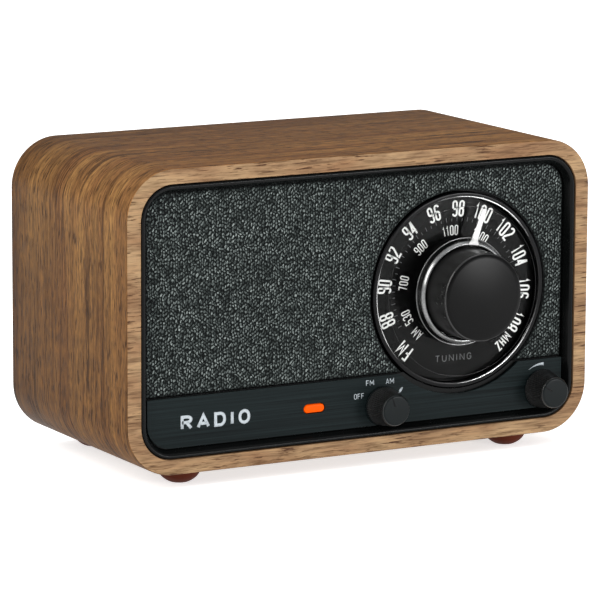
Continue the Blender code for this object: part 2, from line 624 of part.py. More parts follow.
def build_radio():
    for old in list(bpy.data.objects):
        bpy.data.objects.remove(old, do_unlink=True)

    wood = material("walnut_veneer", (0.20, 0.10, 0.045), 0.55)
    pine = material("pine", (0.55, 0.38, 0.20), 0.7)
    black = material("moulded_black", (0.012, 0.013, 0.014), 0.25)
    gloss_black = material("gloss_black", (0.008, 0.008, 0.008), 0.12)
    plate_black = material("dial_black", (0.015, 0.015, 0.015), 0.35)
    metal = material("brushed_black_metal", (0.022, 0.026, 0.028), 0.38, metallic=0.7)
    cloth = material("tweed_cloth", (0.045, 0.05, 0.048), 0.9)
    acrylic = material("clear_acrylic", (0.9, 0.9, 0.9), 0.05, alpha=0.25)
    knob_black = material("satin_black", (0.02, 0.02, 0.02), 0.4)
    orange = material("orange_lens", (1.0, 0.13, 0.01), 0.3, glow=1.0)
    clear = material("led_resin", (0.9, 0.5, 0.3), 0.2)
    rubber = material("brown_rubber", (0.09, 0.03, 0.02), 0.6)
    steel = material("bright_steel", (0.55, 0.55, 0.56), 0.3, metallic=1.0)
    brass = material("brass", (0.65, 0.45, 0.15), 0.3, metallic=1.0)
    nylon = material("nylon", (0.75, 0.73, 0.66), 0.5)
    plastic = material("black_plastic", (0.02, 0.02, 0.02), 0.5)
    pcb = material("circuit_board", (0.02, 0.12, 0.05), 0.5)
    ferrite = material("ferrite", (0.04, 0.04, 0.045), 0.6)
    copper = material("copper_wire", (0.6, 0.25, 0.12), 0.4, metallic=0.8)
    paper = material("cone_paper", (0.03, 0.03, 0.03), 0.9)
    foam = material("surround_rubber", (0.02, 0.02, 0.02), 0.7)

    build_cabinet(wood)
    build_feet(rubber)
    build_battens(pine)
    build_baffle(black)
    build_strip(metal)
    build_grille(plastic, cloth)
    build_light(orange, clear)
    build_dial(gloss_black, plate_black, acrylic, knob_black, steel, brass)
    build_tuning_train(nylon, steel, nylon)
    build_controls(knob_black, steel, brass, plastic)
    build_speaker(steel, ferrite, steel, paper, foam, paper, copper)
    build_boards(pcb, steel, ferrite, copper, nylon)
    build_rear(plastic, pcb, steel, plastic, steel)


build_radio()
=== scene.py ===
"""Tabletop radio: finished surfaces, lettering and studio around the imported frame.

Places are in millimetres: x to the listener's right, depth behind the cabinet's front edge, and
height above the cabinet's underside. at() turns them into the frame's metres.
"""

import json
from math import atan2, cos, degrees, hypot, pi, radians, sin

import bmesh
import bpy
import numpy as np
from mathutils import Matrix, Vector


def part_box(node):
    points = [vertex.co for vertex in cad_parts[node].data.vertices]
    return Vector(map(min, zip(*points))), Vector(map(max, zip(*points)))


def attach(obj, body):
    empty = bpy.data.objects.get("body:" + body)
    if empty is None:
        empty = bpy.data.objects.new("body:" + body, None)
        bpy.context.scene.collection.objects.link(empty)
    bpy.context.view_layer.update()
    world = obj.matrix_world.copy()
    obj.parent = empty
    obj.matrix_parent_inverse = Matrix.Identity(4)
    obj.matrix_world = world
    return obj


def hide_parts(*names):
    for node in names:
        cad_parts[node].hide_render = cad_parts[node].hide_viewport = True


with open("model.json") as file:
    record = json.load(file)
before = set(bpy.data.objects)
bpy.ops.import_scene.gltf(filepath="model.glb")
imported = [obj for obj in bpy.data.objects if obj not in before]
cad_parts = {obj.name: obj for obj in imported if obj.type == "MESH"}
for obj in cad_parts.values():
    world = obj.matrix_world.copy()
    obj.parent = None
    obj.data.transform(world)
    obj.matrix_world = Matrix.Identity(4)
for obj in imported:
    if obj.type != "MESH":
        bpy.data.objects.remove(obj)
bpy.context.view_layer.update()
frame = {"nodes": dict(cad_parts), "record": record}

MM = 0.001
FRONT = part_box("cabinet")[0].y
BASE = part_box("cabinet")[0].z
RADIO = "radio_body"
SCENE = bpy.context.scene

# Camera
CAMERA_YAW = 29.161            # degrees to the right of straight at the front
CAMERA_PITCH = 10.335          # degrees below level
CAMERA_ROLL = 0.27
CAMERA_DISTANCE = 1519.1
CAMERA_AIM = (-0.28, 46.74, 48.67)
CAMERA_LENS = 247.6

# Cabinet, baffle and feet
CORNER_R = 18.0
WALL = 5.5
CORNER_STEPS = 20
BAFFLE_GAP = 0.3
BAFFLE_R = CORNER_R - WALL - BAFFLE_GAP
LIP_INSET = 1.7
FLOOR_INSET = 3.0
STRIP_SEAT = 4.0
GRILLE_SEAT = 6.3
PANEL_BACK = 8.8
SPEAKER_HOLE_R = 33.0
SHAFT_HOLE_R = 4.2
LENS_GAP = 0.3
FOOT_TURNS = ((7.65, 4.0), (6.75, 2.3), (5.1, 0.9))     # (radius, height) down the foot's side
SOLE_R = 3.3

# Cloth weave
YARN_PITCH = 1.02              # across the warp
FLOAT_PITCH = 1.4              # along a warp yarn, from one float to the next
COLUMN_SLIP = 0.3              # most that a yarn's floats are off their stagger, in floats
CELL_DIVISIONS = 3
WEAVE_RELIEF = 0.34
EDGE_ROLL = 1.3                # width of the rolled edge
EDGE_DROP = 0.42

# Dial: radii and depths of its cup, clear disc and collar
RIM_R = 36.0
CUP_R = 34.4
CUP_FLOOR = 8.3
CUP_LIP = 3.5
CUP_SEAT = 9.1
CUP_HOLE_R = 4.8
RIM_BEAD = (34.52, 3.86, 0.36)     # radius, depth and thickness of the polished inner edge
PLATE_HOLE_R = 7.2
DISC_FRONT = 0.7
DISC_EDGE = 4.4
DISC_FLAT_R = 31.2
COLLAR_R = 18.8
COLLAR_BORE_R = COLLAR_R - 1.4
ROOT_R = COLLAR_R + 0.85
SHAFT_BORE_R = 3.3

# Dial print and knob marks: ring radii, and places in degrees clockwise from the top
FM_RING = 29.6
AM_RING = 21.7
FM_MARKS = (("FM", -135.3), ("88", -108.3), ("90", -83.9), ("92", -60.9), ("94", -39.5), ("96", -17.4),
            ("98", 2.7), ("100", 23.8), ("102", 46.9), ("104", 70.3), ("106", 94.5), ("108", 118.4))
AM_MARKS = (("AM", -134.6), ("530", -114.5), ("700", -80.1), ("900", -41.1), ("1100", -4.8),
            ("1400", 30.0), ("1600", 79.0))
UNIT_AT = 135.1
TICKS_FROM, TICK_STEP, TICKS = -118.0, 5.0, 49
SELECTOR_AT = -20.0
VOLUME_AT = -60.0

# Lettering, as (height, letter width, stroke, gap between letters)
FM_TYPE = (6.1, 2.3, 0.74, 0.5)
UNIT_TYPE = (3.9, 1.8, 0.6, 0.5)
AM_TYPE = (3.8, 1.5, 0.42, 0.42)
DIAL_WORD_TYPE = (2.5, 1.9, 0.3, 1.0)
BAND_TYPE = (2.1, 1.3, 0.27, 0.26)
OFF_TYPE = (2.0, 1.2, 0.22, 0.3)
STRIP_WORD_TYPE = (5.3, 4.7, 1.15, 1.7)
SOCKET_TYPE = (2.2, 1.5, 0.3, 0.35)
LETTER_WIDTHS = {"1": 0.62, "I": 0.15, "M": 1.45, "N": 1.1, "A": 1.15}
LAYER = 0.004                  # each stroke lies this much in front of the one before


# ---- places

def at(x, depth, height):
    return Vector((x * MM, FRONT + depth * MM, BASE + height * MM))


class Extent:
    """A CAD node's box in millimetres, as x, depth and height."""

    def __init__(self, node):
        low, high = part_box(node)
        self.left, self.right = low.x / MM, high.x / MM
        self.front, self.back = (low.y - FRONT) / MM, (high.y - FRONT) / MM
        self.low, self.high = (low.z - BASE) / MM, (high.z - BASE) / MM
        self.x, self.h = (self.left + self.right) / 2, (self.low + self.high) / 2
        self.width, self.height = self.right - self.left, self.high - self.low
        self.radius = self.width / 2


CABINET = Extent("cabinet")
BAFFLE = Extent("front_baffle")
STRIP = Extent("control_strip")
CLOTH = Extent("grille_cloth")
DIAL = Extent("dial_plate")
RIM = Extent("dial_housing")
DISC = Extent("pointer_disc")


# ---- materials

def srgb(red, green, blue):
    """Linear colour from display values of 0 to 255."""
    parts = [v / 255 for v in (red, green, blue)]
    return tuple(v / 12.92 if v <= 0.04045 else ((v + 0.055) / 1.055) ** 2.4 for v in parts)


def shade(colour, factor):
    return tuple(v * factor for v in colour)


def grey(level):
    return (level, level, level)


LOOK = {}
SOCKETS = {"roughness": "Roughness", "metallic": "Metallic", "specular": "Specular IOR Level",
           "coat": "Coat Weight", "coat_roughness": "Coat Roughness", "anisotropic": "Anisotropic",
           "glow": "Emission Strength", "glow_colour": "Emission Color"}


class Surface:
    """A Principled material whose colour, roughness and bump come from procedural patterns."""

    def __init__(self, name, **settings):
        self.material = LOOK[name] = bpy.data.materials.new(name)
        self.material.use_nodes = True
        self.tree = self.material.node_tree
        self.shader = self.tree.nodes["Principled BSDF"]
        for setting, value in settings.items():
            self.feed(self.shader.inputs[SOCKETS[setting]], value)

    def term(self, kind, inputs=None, output=0, **settings):
        """A new node's output, as a Term."""
        made = self.tree.nodes.new("ShaderNode" + kind)
        for setting, value in settings.items():
            setattr(made, setting, value)
        for socket, value in (inputs or {}).items():
            self.feed(made.inputs[socket], value)
        return Term(self, made, output)

    def feed(self, socket, value):
        if isinstance(value, Term):
            self.tree.links.new(value.socket, socket)
        elif isinstance(value, tuple) and socket.type == "RGBA":
            socket.default_value = (*value, 1.0)
        else:
            socket.default_value = value

    def place(self, stretch=(1.0, 1.0, 1.0), source="Object", turn=(0.0, 0.0, 0.0)):
        """A texture place: Object for metres in the frame, or UV for metres along and across the grain."""
        where = self.term("TexCoord", output=source)
        return self.term("Mapping", {"Vector": where, "Scale": stretch, "Rotation": turn})

    def noise(self, waves, detail=4.0, roughness=0.55, distortion=0.0, source="Object"):
        """Noise of that many waves a metre, either all ways or along each axis."""
        stretch = waves if isinstance(waves, tuple) else (waves, waves, waves)
        return self.term("TexNoise", {"Vector": self.place(stretch, source), "Scale": 1.0, "Detail": detail,
                                      "Roughness": roughness, "Distortion": distortion})

    def paint(self, colour, roughness=None):
        self.feed(self.shader.inputs["Base Color"], colour)
        if roughness is not None:
            self.feed(self.shader.inputs["Roughness"], roughness)

    def relief(self, height, distance):
        """Bump of that depth in millimetres where the height runs from 0 to 1."""
        made = self.term("Bump", {"Height": height, "Distance": distance * MM, "Strength": 1.0})
        self.feed(self.shader.inputs["Normal"], made)


class Term:
    """A number, colour or place worked out by a material's nodes; arithmetic with it adds nodes."""

    def __init__(self, surface, node, output=0):
        self.surface, self.node, self.socket = surface, node, node.outputs[output]

    def maths(self, operation, *others):
        return self.surface.term("Math", dict(enumerate((self, *others))), operation=operation)

    def __add__(self, other):
        return self.maths("ADD", other)

    def __sub__(self, other):
        return self.maths("SUBTRACT", other)

    def __mul__(self, other):
        return self.maths("MULTIPLY", other)

    def __truediv__(self, other):
        return self.maths("DIVIDE", other)

    def __mod__(self, other):
        return self.maths("FLOORED_MODULO", other)

    def __pow__(self, other):
        return self.maths("POWER", other)

    def parts(self):
        made = self.surface.term("SeparateXYZ", {"Vector": self})
        return [Term(self.surface, made.node, axis) for axis in "XYZ"]

    def band(self, low, high, to_low=0.0, to_high=1.0):
        """The value from low to high, spread over another range and held at its ends."""
        return self.surface.term("MapRange", {"Value": self, "From Min": low, "From Max": high,
                                              "To Min": to_low, "To Max": to_high})

    def ramp(self, *stops):
        """A colour from stops, each (value, colour)."""
        made = self.surface.term("ValToRGB", {"Fac": self})
        elements = made.node.color_ramp.elements
        while len(elements) < len(stops):
            elements.new(0.5)
        for element, (position, colour) in zip(elements, stops):
            element.position = position
            element.color = (*colour, 1.0)
        return made

    def shades(self, colour, darkest, lightest):
        return self.ramp((0.3, shade(colour, darkest)), (0.7, shade(colour, lightest)))

    def blend(self, factor, other, mode="MIX"):
        """This colour, covered with another by the factor."""
        return self.surface.term("Mix", {0: factor, 6: self, 7: other}, 2, data_type="RGBA", blend_type=mode)

    def tinted(self, value, *stops):
        """This colour multiplied by a ramp's."""
        return self.blend(1.0, value.ramp(*stops), "MULTIPLY")


def veneer():
    """Walnut veneer wrapped round the cabinet: grain along U, across the depth along V, with painted light
    and shade by height and depth.
    """
    surface = Surface("walnut_veneer", specular=0.05)
    dark, red, tan = srgb(48, 30, 17), srgb(95, 64, 37), srgb(117, 85, 49)

    def figure(along, across, detail=2.0, roughness=0.55, distortion=0.0):
        return surface.noise((along, across, 1.0), detail, roughness, distortion, "UV")

    bands = figure(6.0, 90.0, 4.0, 0.6, 0.5)
    streaks = figure(7.0, 300.0, 10.0, 0.75, 0.3)
    lines = figure(16.0, 420.0, 5.0, 0.7, 0.8)
    clusters = figure(4.0, 60.0)
    fibres = figure(210.0, 900.0, 2.0, 0.6)
    pores = figure(160.0, 1100.0, 2.0, 0.5)
    ripple = figure(110.0, 60.0, 3.0, 0.6)
    colour = bands.ramp((0.36, red), (0.62, tan))
    colour = colour.tinted(streaks, (0.38, (0.66, 0.62, 0.58)), (0.5, grey(1.0)), (0.62, (1.24, 1.23, 1.19)))
    colour = colour.tinted(fibres, (0.36, (0.70, 0.68, 0.66)), (0.64, (1.28, 1.28, 1.27)))
    colour = colour.tinted(ripple, (0.3, grey(0.92)), (0.7, grey(1.08)))
    line_mask = lines.band(0.54, 0.59) * clusters.band(0.45, 0.6, 0.2, 0.95)
    pore_mask = pores.band(0.56, 0.64)
    colour = colour.blend(line_mask, dark).blend(pore_mask * 0.75, shade(dark, 0.8))
    _, y, z = surface.place().parts()
    # Painted light and shade: darker low on the sides, lighter up to the top bend and a little less on the
    # top, as if lit from above; then lighter at the front and darker towards the back.
    colour = colour.tinted(z.band(0.0, 0.12), (0.1, (0.72, 0.68, 0.62)), (0.5, (0.84, 0.81, 0.78)),
                           (0.74, (1.06, 1.08, 1.08)), (0.9, (1.32, 1.34, 1.36)), (0.94, (1.32, 1.34, 1.36)),
                           (0.954, (1.13, 1.08, 1.02)))
    colour = colour.tinted(y.band(-0.04, 0.055), (0.0, grey(1.12)), (0.5, grey(1.0)),
                           (1.0, (0.66, 0.63, 0.6)))
    surface.paint(colour, fibres.band(0.3, 0.7, 0.45, 0.6))
    surface.relief(fibres * 0.3 - pore_mask, 0.05)


def edge_wood():
    """Paler walnut edging on the cabinet's front and rear edges, its grain along the width."""
    surface = Surface("walnut_edging", specular=0.08)
    dark, red, pale = srgb(70, 45, 29), srgb(122, 92, 66), srgb(148, 121, 90)
    clouds = surface.noise((26.0, 1.0, 85.0), 3.0, distortion=0.4)
    streaks = surface.noise((60.0, 1.0, 900.0), 4.0, 0.7, 0.3)
    lines = surface.noise((110.0, 1.0, 1500.0), 3.0, 0.6)
    clusters = surface.noise((30.0, 1.0, 140.0), 2.0)
    colour = clouds.ramp((0.36, red), (0.6, pale))
    colour = colour.tinted(streaks, (0.38, (0.58, 0.54, 0.5)), (0.5, grey(1.0)), (0.62, (1.24, 1.23, 1.19)))
    line_mask = lines.band(0.57, 0.61) * clusters.band(0.42, 0.54, 0.25, 1.0)
    surface.paint(colour.blend(line_mask, dark), streaks.band(0.3, 0.7, 0.45, 0.6))
    surface.relief(streaks - line_mask, 0.04)


def bare_wood(name, colour):
    """Unfinished wood with its grain along the height, for the cabinet's inside and the battens."""
    surface = Surface(name, roughness=0.75, specular=0.25)
    streaks = surface.noise((300.0, 120.0, 9.0), 5.0, distortion=0.5)
    surface.paint(streaks.shades(srgb(*colour), 0.6, 1.15))
    surface.relief(streaks, 0.05)


def moulded(name, colour, roughness, grain=0.25, depth=0.006, variation=0.12, **settings):
    """Plastic, rubber, paper or ink: a fine grain of that size in the colour, gloss and relief."""
    surface = Surface(name, **settings)
    grains = surface.noise(1000.0 / grain, 2.0)
    tone = grains * 0.5 + surface.noise(70.0, 3.0) * 0.5
    surface.paint(tone.shades(srgb(*colour), 1 - variation, 1 + variation),
                  tone.band(0.3, 0.7, roughness * 0.88, roughness * 1.12))
    surface.relief(grains, depth)


def ink(name, colour, roughness=0.5):
    """Screen-printed ink, very slightly uneven."""
    moulded(name, colour, roughness, grain=0.2, depth=0.002, variation=0.08)


def brushed_metal():
    """Black anodised sheet brushed along the width."""
    surface = Surface("brushed_black_metal", metallic=0.15, specular=0.08, anisotropic=0.4)
    brushing = surface.noise((25.0, 900.0, 4200.0), 4.0, 0.7)
    long_marks = surface.noise((7.0, 300.0, 1100.0), 2.0)
    tone = brushing * 0.6 + long_marks * 0.4
    surface.paint(tone.ramp((0.36, srgb(2, 7, 8)), (0.64, srgb(22, 31, 32))), tone.band(0.3, 0.7, 0.34, 0.5))
    surface.relief(brushing, 0.004)


def cloth_fabric():
    """Black and grey tweed: warp floats on a dark ground, each with its own tone, size and lean."""
    surface = Surface("tweed_cloth", roughness=0.95, specular=0.1)
    drift = (surface.noise(300.0, 2.0) - 0.5) * 2.4
    x, _, h = surface.place((1 / MM, 1 / MM, 1 / MM)).parts()
    across = (x + drift) / YARN_PITCH
    column = across.maths("FLOOR")
    slip = surface.term("TexWhiteNoise", {"W": column}, "Value", noise_dimensions="1D")
    up = (h + drift) / FLOAT_PITCH + (column % 2.0 * 0.5 + slip * COLUMN_SLIP)
    row = up.maths("FLOOR")
    cell = surface.term("CombineXYZ", {"X": column, "Y": row})
    draw = surface.term("TexWhiteNoise", {"Vector": cell}, "Color", noise_dimensions="3D")
    bright, lean, plump = draw.parts()
    off_x = across - column - bright.band(0.0, 1.0, 0.30, 0.70)
    off_h = up - row - lean.band(0.0, 1.0, 0.34, 0.66)
    sway = lean.band(0.0, 1.0, -0.5, 0.4) * off_h
    half_x = plump.band(0.0, 1.0, 0.34, 0.52)
    half_h = plump.band(1.0, 0.0, 0.34, 0.56)
    float_yarn = (((off_x + sway) / half_x) ** 2.0 + (off_h / half_h) ** 2.0).band(1.0, 0.35)
    fibres = surface.noise((3600.0, 2400.0, 1700.0), 3.0, 0.7)
    tone = float_yarn * bright.band(0.0, 1.0, 0.22, 0.70) + fibres.band(0.45, 0.8, 0.0, 0.22)
    tone = tone * fibres.band(0.25, 0.75, 0.7, 1.3) * surface.noise(140.0, 2.0).band(0.3, 0.7, 0.86, 1.14)
    # Painted shade: darker where the cloth's edge rolls back, from a mesh attribute.
    tone = tone * surface.term("Attribute", output="Fac", attribute_name="painted_edge_shade")
    surface.paint(tone.ramp((0.0, srgb(5, 7, 7)), (0.3, srgb(44, 49, 48)), (0.6, srgb(88, 95, 93)),
                            (1.0, srgb(150, 158, 155))))
    surface.relief(float_yarn + fibres * 0.5, 0.1)


def clear_acrylic():
    """Clear plastic over the printed plate, a little less clear where it has been wiped."""
    surface = Surface("clear_acrylic")
    surface.tree.nodes.remove(surface.shader)
    tint = surface.noise(90.0, 3.0).ramp((0.3, (0.93, 0.935, 0.93)), (0.7, grey(0.985)))
    through = surface.term("BsdfTransparent", {"Color": tint})
    surface.feed(surface.tree.nodes["Material Output"].inputs["Surface"], through)


def rim_painted_glints():
    """The dial's turned inner edge, with painted highlights: three bright stretches at set angles round the
    dial, with dull ones between them.
    """
    surface = Surface("rim_painted_glints", metallic=0.85, roughness=0.2)
    x, _, z = surface.place().parts()
    middle = at(DIAL.x, 0, DIAL.h)
    turned_by = (x - middle.x).maths("ARCTAN2", z - middle.z) - radians(22.0)
    # Painted highlights: the brightness follows the angle round the dial, not the lamps.
    wave = (turned_by * 3.0).maths("COSINE") + (surface.noise(260.0, 3.0) - 0.5) * 1.2
    surface.paint(wave.band(-1.0, 1.0).ramp((0.3, srgb(34, 34, 34)), (0.6, srgb(120, 120, 120)),
                                            (0.95, srgb(246, 246, 246))))


def lamp_lens():
    """Orange lens lit from behind."""
    surface = Surface("orange_lens", roughness=0.3, glow=0.42, specular=0.04)
    warm = surface.noise(500.0, 2.0).ramp((0.3, (0.56, 0.055, 0.0)), (0.7, (0.61, 0.065, 0.0)))
    surface.paint(warm)
    surface.feed(surface.shader.inputs["Emission Color"], warm)


def metal(name, colour, roughness=0.3):
    """Turned or stamped bare metal with faint tool marks."""
    surface = Surface(name, metallic=1.0)
    marks = surface.noise((700.0, 60.0, 700.0), 3.0)
    surface.paint(marks.shades(srgb(*colour), 0.82, 1.08),
                  marks.band(0.3, 0.7, roughness * 0.8, roughness * 1.25))
    surface.relief(marks, 0.003)


def wound_copper(name, turns_along):
    """Enamelled wire laid in turns side by side; turns_along is the winding's axis."""
    surface = Surface(name, metallic=0.85, roughness=0.35)
    turns = surface.term("TexWave", {"Vector": surface.place(), "Scale": 800.0, "Distortion": 0.3}, "Fac",
                         bands_direction=turns_along, wave_profile="SIN")
    surface.paint(turns.ramp((0.1, srgb(84, 36, 18)), (0.7, srgb(190, 104, 62))))
    surface.relief(turns, 0.12)


def circuit_board():
    """Green lacquered board with broad copper tracks under the lacquer."""
    surface = Surface("circuit_board", roughness=0.38, coat=0.3)
    where = surface.place(turn=(radians(90), 0.0, 0.0))
    tracks = surface.term("TexBrick", {"Vector": where, "Scale": 60.0, "Mortar Size": 0.05,
                                       "Color1": srgb(18, 84, 44), "Color2": srgb(14, 72, 38),
                                       "Mortar": srgb(40, 118, 60)}, "Color")
    clouds = surface.noise(200.0, 3.0).band(0.4, 0.8, 0.0, 0.35)
    surface.paint(tracks.blend(clouds, srgb(8, 48, 24)))
    surface.relief(Term(surface, tracks.node, "Fac"), 0.03)


veneer()
edge_wood()
bare_wood("cabinet_inside", (120, 90, 62))
bare_wood("pine", (205, 170, 122))
brushed_metal()
cloth_fabric()
clear_acrylic()
rim_painted_glints()
lamp_lens()
circuit_board()
metal("bright_steel", (190, 190, 192))
metal("brass", (205, 170, 95))
wound_copper("copper_wire", "X")
wound_copper("voice_coil_wire", "Y")
moulded("gloss_black", (5, 5, 6), 0.2, grain=0.8, depth=0.0004, specular=0.12)
moulded("moulded_black", (5, 6, 6), 0.26, grain=0.6, depth=0.0008, specular=0.1)
moulded("dial_black", (9, 9, 9), 0.5, grain=0.3, depth=0.0005, specular=0.03, coat=0.2, coat_roughness=0.12)
moulded("acrylic_wall", (10, 10, 10), 0.12, grain=0.8, depth=0.0003, specular=0.5)
moulded("acrylic_edge", (120, 121, 121), 0.24, grain=0.5, depth=0.002, variation=0.6, metallic=0.6,
        coat=0.6, coat_roughness=0.12)
moulded("satin_black", (5, 5, 5), 0.32, depth=0.003, specular=0.09)
moulded("satin_black_small", (8, 14, 15), 0.34, depth=0.003, specular=0.11)
# Painted light: the knobs' sides and rounded edges are the face's black painted lighter, besides being
# glossier.
moulded("satin_black_painted_lit_side", (30, 30, 30), 0.3, grain=2.0, depth=0.0001, specular=0.4)
moulded("satin_black_painted_highlight_edge", (20, 20, 20), 0.28, grain=2.0, depth=0.0001, specular=0.45)
moulded("black_plastic", (34, 35, 36), 0.55, grain=0.35, depth=0.03, variation=0.2)
moulded("brown_rubber", (72, 27, 10), 0.6, grain=0.3, depth=0.02, variation=0.2, specular=0.08)
moulded("surround_rubber", (30, 30, 30), 0.7, grain=0.3, depth=0.02)
moulded("cone_paper", (44, 43, 41), 0.95, grain=0.5, depth=0.08, variation=0.3)
moulded("ferrite", (58, 58, 60), 0.6, grain=0.5, depth=0.03, variation=0.25)
moulded("nylon", (222, 218, 204), 0.5, grain=0.5, depth=0.01, variation=0.06)
moulded("led_resin", (235, 120, 50), 0.25, grain=0.5)
ink("white_ink", (250, 250, 248))
ink("pointer_ink", (232, 232, 231))
ink("grey_ink", (104, 105, 106))
ink("silver_ink", (166, 174, 179), 0.45)


# ---- outlines

def arc(x, h, radius, start, end, steps):
    """Points from one angle to another, in degrees anticlockwise from +X seen from the front."""
    angles = (radians(start + (end - start) * i / steps) for i in range(steps + 1))
    return [(x + radius * cos(a), h + radius * sin(a)) for a in angles]


def circle(centre, radius, count):
    return arc(centre.x, centre.h, radius, 0, 360 - 360 / count, count - 1)


def clock(centre, radius, angle, side=0.0):
    """A point at an angle in degrees clockwise from the top, and then so far to its side."""
    a = radians(angle)
    return centre.x + radius * sin(a) + side * cos(a), centre.h + radius * cos(a) - side * sin(a)


def bar(centre, angle, start, end, half):
    """The corners of a bar that runs outwards from one radius to another."""
    return [clock(centre, radius, angle, side)
            for radius, side in ((start, half), (end, half), (end, -half), (start, -half))]


def rounded_box(left, low, right, high, radii, steps=CORNER_STEPS):
    """Outline from four corner radii, in the order right-top, left-top, left-low, right-low."""
    corners = ((right, high, -1, -1), (left, high, 1, -1), (left, low, 1, 1), (right, low, -1, 1))
    outline = []
    for quarter, ((x, h, to_x, to_h), radius) in enumerate(zip(corners, radii)):
        if radius == 0:
            outline.append((x, h))
        else:
            start = 90 * quarter
            outline += arc(x + to_x * radius, h + to_h * radius, radius, start, start + 90, steps)
    return outline


def inset_box(extent, inset, radius, steps=CORNER_STEPS):
    return rounded_box(extent.left + inset, extent.low + inset, extent.right - inset, extent.high - inset,
                       (radius,) * 4, steps)


def pill(extent, inset):
    return inset_box(extent, inset, extent.height / 2 - inset, 10)


def box_rings(extent, radius, section):
    """Outlines of a box at the (inset, depth) points of a section, each with its depth."""
    return [(inset_box(extent, inset, max(radius - inset, 0.4)), depth) for inset, depth in section]


def softened(points, closed=False, steps=4):
    """Round a profile's corners where its (across, depth) points have a third value, the rounding's reach."""
    count = len(points)
    made = []
    for i, (across, depth, *reach) in enumerate(points):
        corner = Vector((across, depth))
        at_end = not closed and i in (0, count - 1)
        if at_end or not reach:
            made.append(tuple(corner))
            continue
        before = Vector(points[i - 1][:2]) - corner
        after = Vector(points[(i + 1) % count][:2]) - corner
        start = corner + before.normalized() * reach[0]
        end = corner + after.normalized() * reach[0]
        for step in range(steps + 1):
            t = step / steps
            made.append(tuple(start * (1 - t) ** 2 + corner * 2 * t * (1 - t) + end * t ** 2))
    return made


def bead(radius, depth, thick):
    """A bead's round section, as eight points of a closed profile."""
    return [(radius + thick * cos(radians(a)), depth + thick * sin(radians(a))) for a in range(0, 360, 45)]


# ---- meshes and pieces

def mesh_of(name, bm):
    bmesh.ops.remove_doubles(bm, verts=bm.verts, dist=1e-7)
    bmesh.ops.recalc_face_normals(bm, faces=bm.faces)
    mesh = bpy.data.meshes.new(name)
    bm.to_mesh(mesh)
    bm.free()
    return mesh


def in_scene(name, data):
    made = bpy.data.objects.new(name, data)
    SCENE.collection.objects.link(made)
    return made


def add_piece(name, mesh, slot, looks=(), body=RADIO, node=None, crease=40):
    """A piece on a body. It looks like its slot unless told otherwise, and may stand for a CAD node."""
    for look in looks or [slot]:
        mesh.materials.append(LOOK[look])
    mesh.shade_smooth()
    mesh.set_sharp_from_angle(angle=radians(crease))
    made = in_scene(name, mesh)
    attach(made, body)
    if node:
        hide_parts(node)
    return made


def bridge(bm, first, second):
    """Quads between two closed loops."""
    count = len(first)
    return [bm.faces.new((first[i], first[(i + 1) % count], second[(i + 1) % count], second[i]))
            for i in range(count)]


def strip(bm, rows, closed=False):
    """Quads between short rows of points, each across the strip."""
    for first, second in zip(rows, rows[1:] + rows[:1] if closed else rows[1:]):
        for i in range(len(first) - 1):
            bm.faces.new((first[i], first[i + 1], second[i + 1], second[i]))


def loops_at(bm, rings):
    return [[bm.verts.new(at(x, depth, h)) for x, h in outline] for outline, depth in rings]


def fill(bm, rings):
    """A solid through outlines at their depths, flat at both ends."""
    loops = loops_at(bm, rings)
    for first, second in zip(loops, loops[1:]):
        bridge(bm, first, second)
    bm.faces.new(loops[0])
    bm.faces.new(loops[-1][::-1])


def filled(name, rings, slot, **options):
    bm = bmesh.new()
    fill(bm, rings)
    return add_piece(name, mesh_of(name, bm), slot, **options)


def turn(bm, profile, centre_x, centre_h, steps):
    """Revolve (radius, depth) points about a depth axis; a profile ends on the axis or closes."""
    rings = []
    for radius, depth in profile:
        if radius < 1e-6:
            rings.append([bm.verts.new(at(centre_x, depth, centre_h))] * steps)
        else:
            rings.append([bm.verts.new(at(centre_x + radius * cos(a), depth, centre_h + radius * sin(a)))
                          for a in (2 * pi * i / steps for i in range(steps))])
    closed = profile[0][0] > 1e-6
    for first, second in zip(rings, rings[1:] + rings[:1] if closed else rings[1:]):
        for i in range(steps):
            after = (i + 1) % steps
            corners = list(dict.fromkeys((first[i], first[after], second[after], second[i])))
            if len(corners) > 2:
                bm.faces.new(corners)


def turned(name, profile, centre, slot, steps, **options):
    bm = bmesh.new()
    turn(bm, softened(profile, closed=profile[0][0] > 0), centre.x, centre.h, steps)
    return add_piece(name, mesh_of(name, bm), slot, **options)


def cut_with(target, holes):
    """Cut prisms, each (outline, front, back), out of an object and keep the result as its mesh."""
    bm = bmesh.new()
    for outline, front, back in holes:
        fill(bm, ((outline, front), (outline, back)))
    tool = in_scene("cutter", mesh_of("cutter", bm))
    change = target.modifiers.new("cut", "BOOLEAN")
    change.object = tool
    change.solver = "EXACT"
    graph = bpy.context.evaluated_depsgraph_get()
    made = bpy.data.meshes.new_from_object(target.evaluated_get(graph))
    target.modifiers.clear()
    target.data = made
    bpy.data.objects.remove(tool, do_unlink=True)


# ---- cabinet, feet and cover

def build_cabinet():
    """The wooden sleeve, with UVs in metres along the wrapped grain and across the depth."""
    section = softened([(0, 0, 0.7), (0, CABINET.back, 0.7), (WALL, CABINET.back, 0.3), (WALL, 0, 0.3)],
                       closed=True)
    bm = bmesh.new()
    loops = loops_at(bm, box_rings(CABINET, CORNER_R, section))
    outline = inset_box(CABINET, 0, CORNER_R)
    travelled = [0.0]
    for (x0, h0), (x1, h1) in zip(outline, outline[1:] + outline[:1]):
        travelled.append(travelled[-1] + hypot(x1 - x0, h1 - h0) * MM)
    grain = bm.loops.layers.uv.new("grain")
    for first, second in zip(loops, loops[1:] + loops[:1]):
        for i, face in enumerate(bridge(bm, first, second)):
            lengths = (travelled[i], travelled[i + 1], travelled[i + 1], travelled[i])
            for corner, along in zip(face.loops, lengths):
                corner[grain].uv = (along, corner.vert.co.y)
            face.material_index = wood_part(face)
    add_piece("cabinet_shell", mesh_of("cabinet_shell", bm), "walnut_veneer",
              ["walnut_veneer", "walnut_edging", "cabinet_inside"], node="cabinet", crease=60)


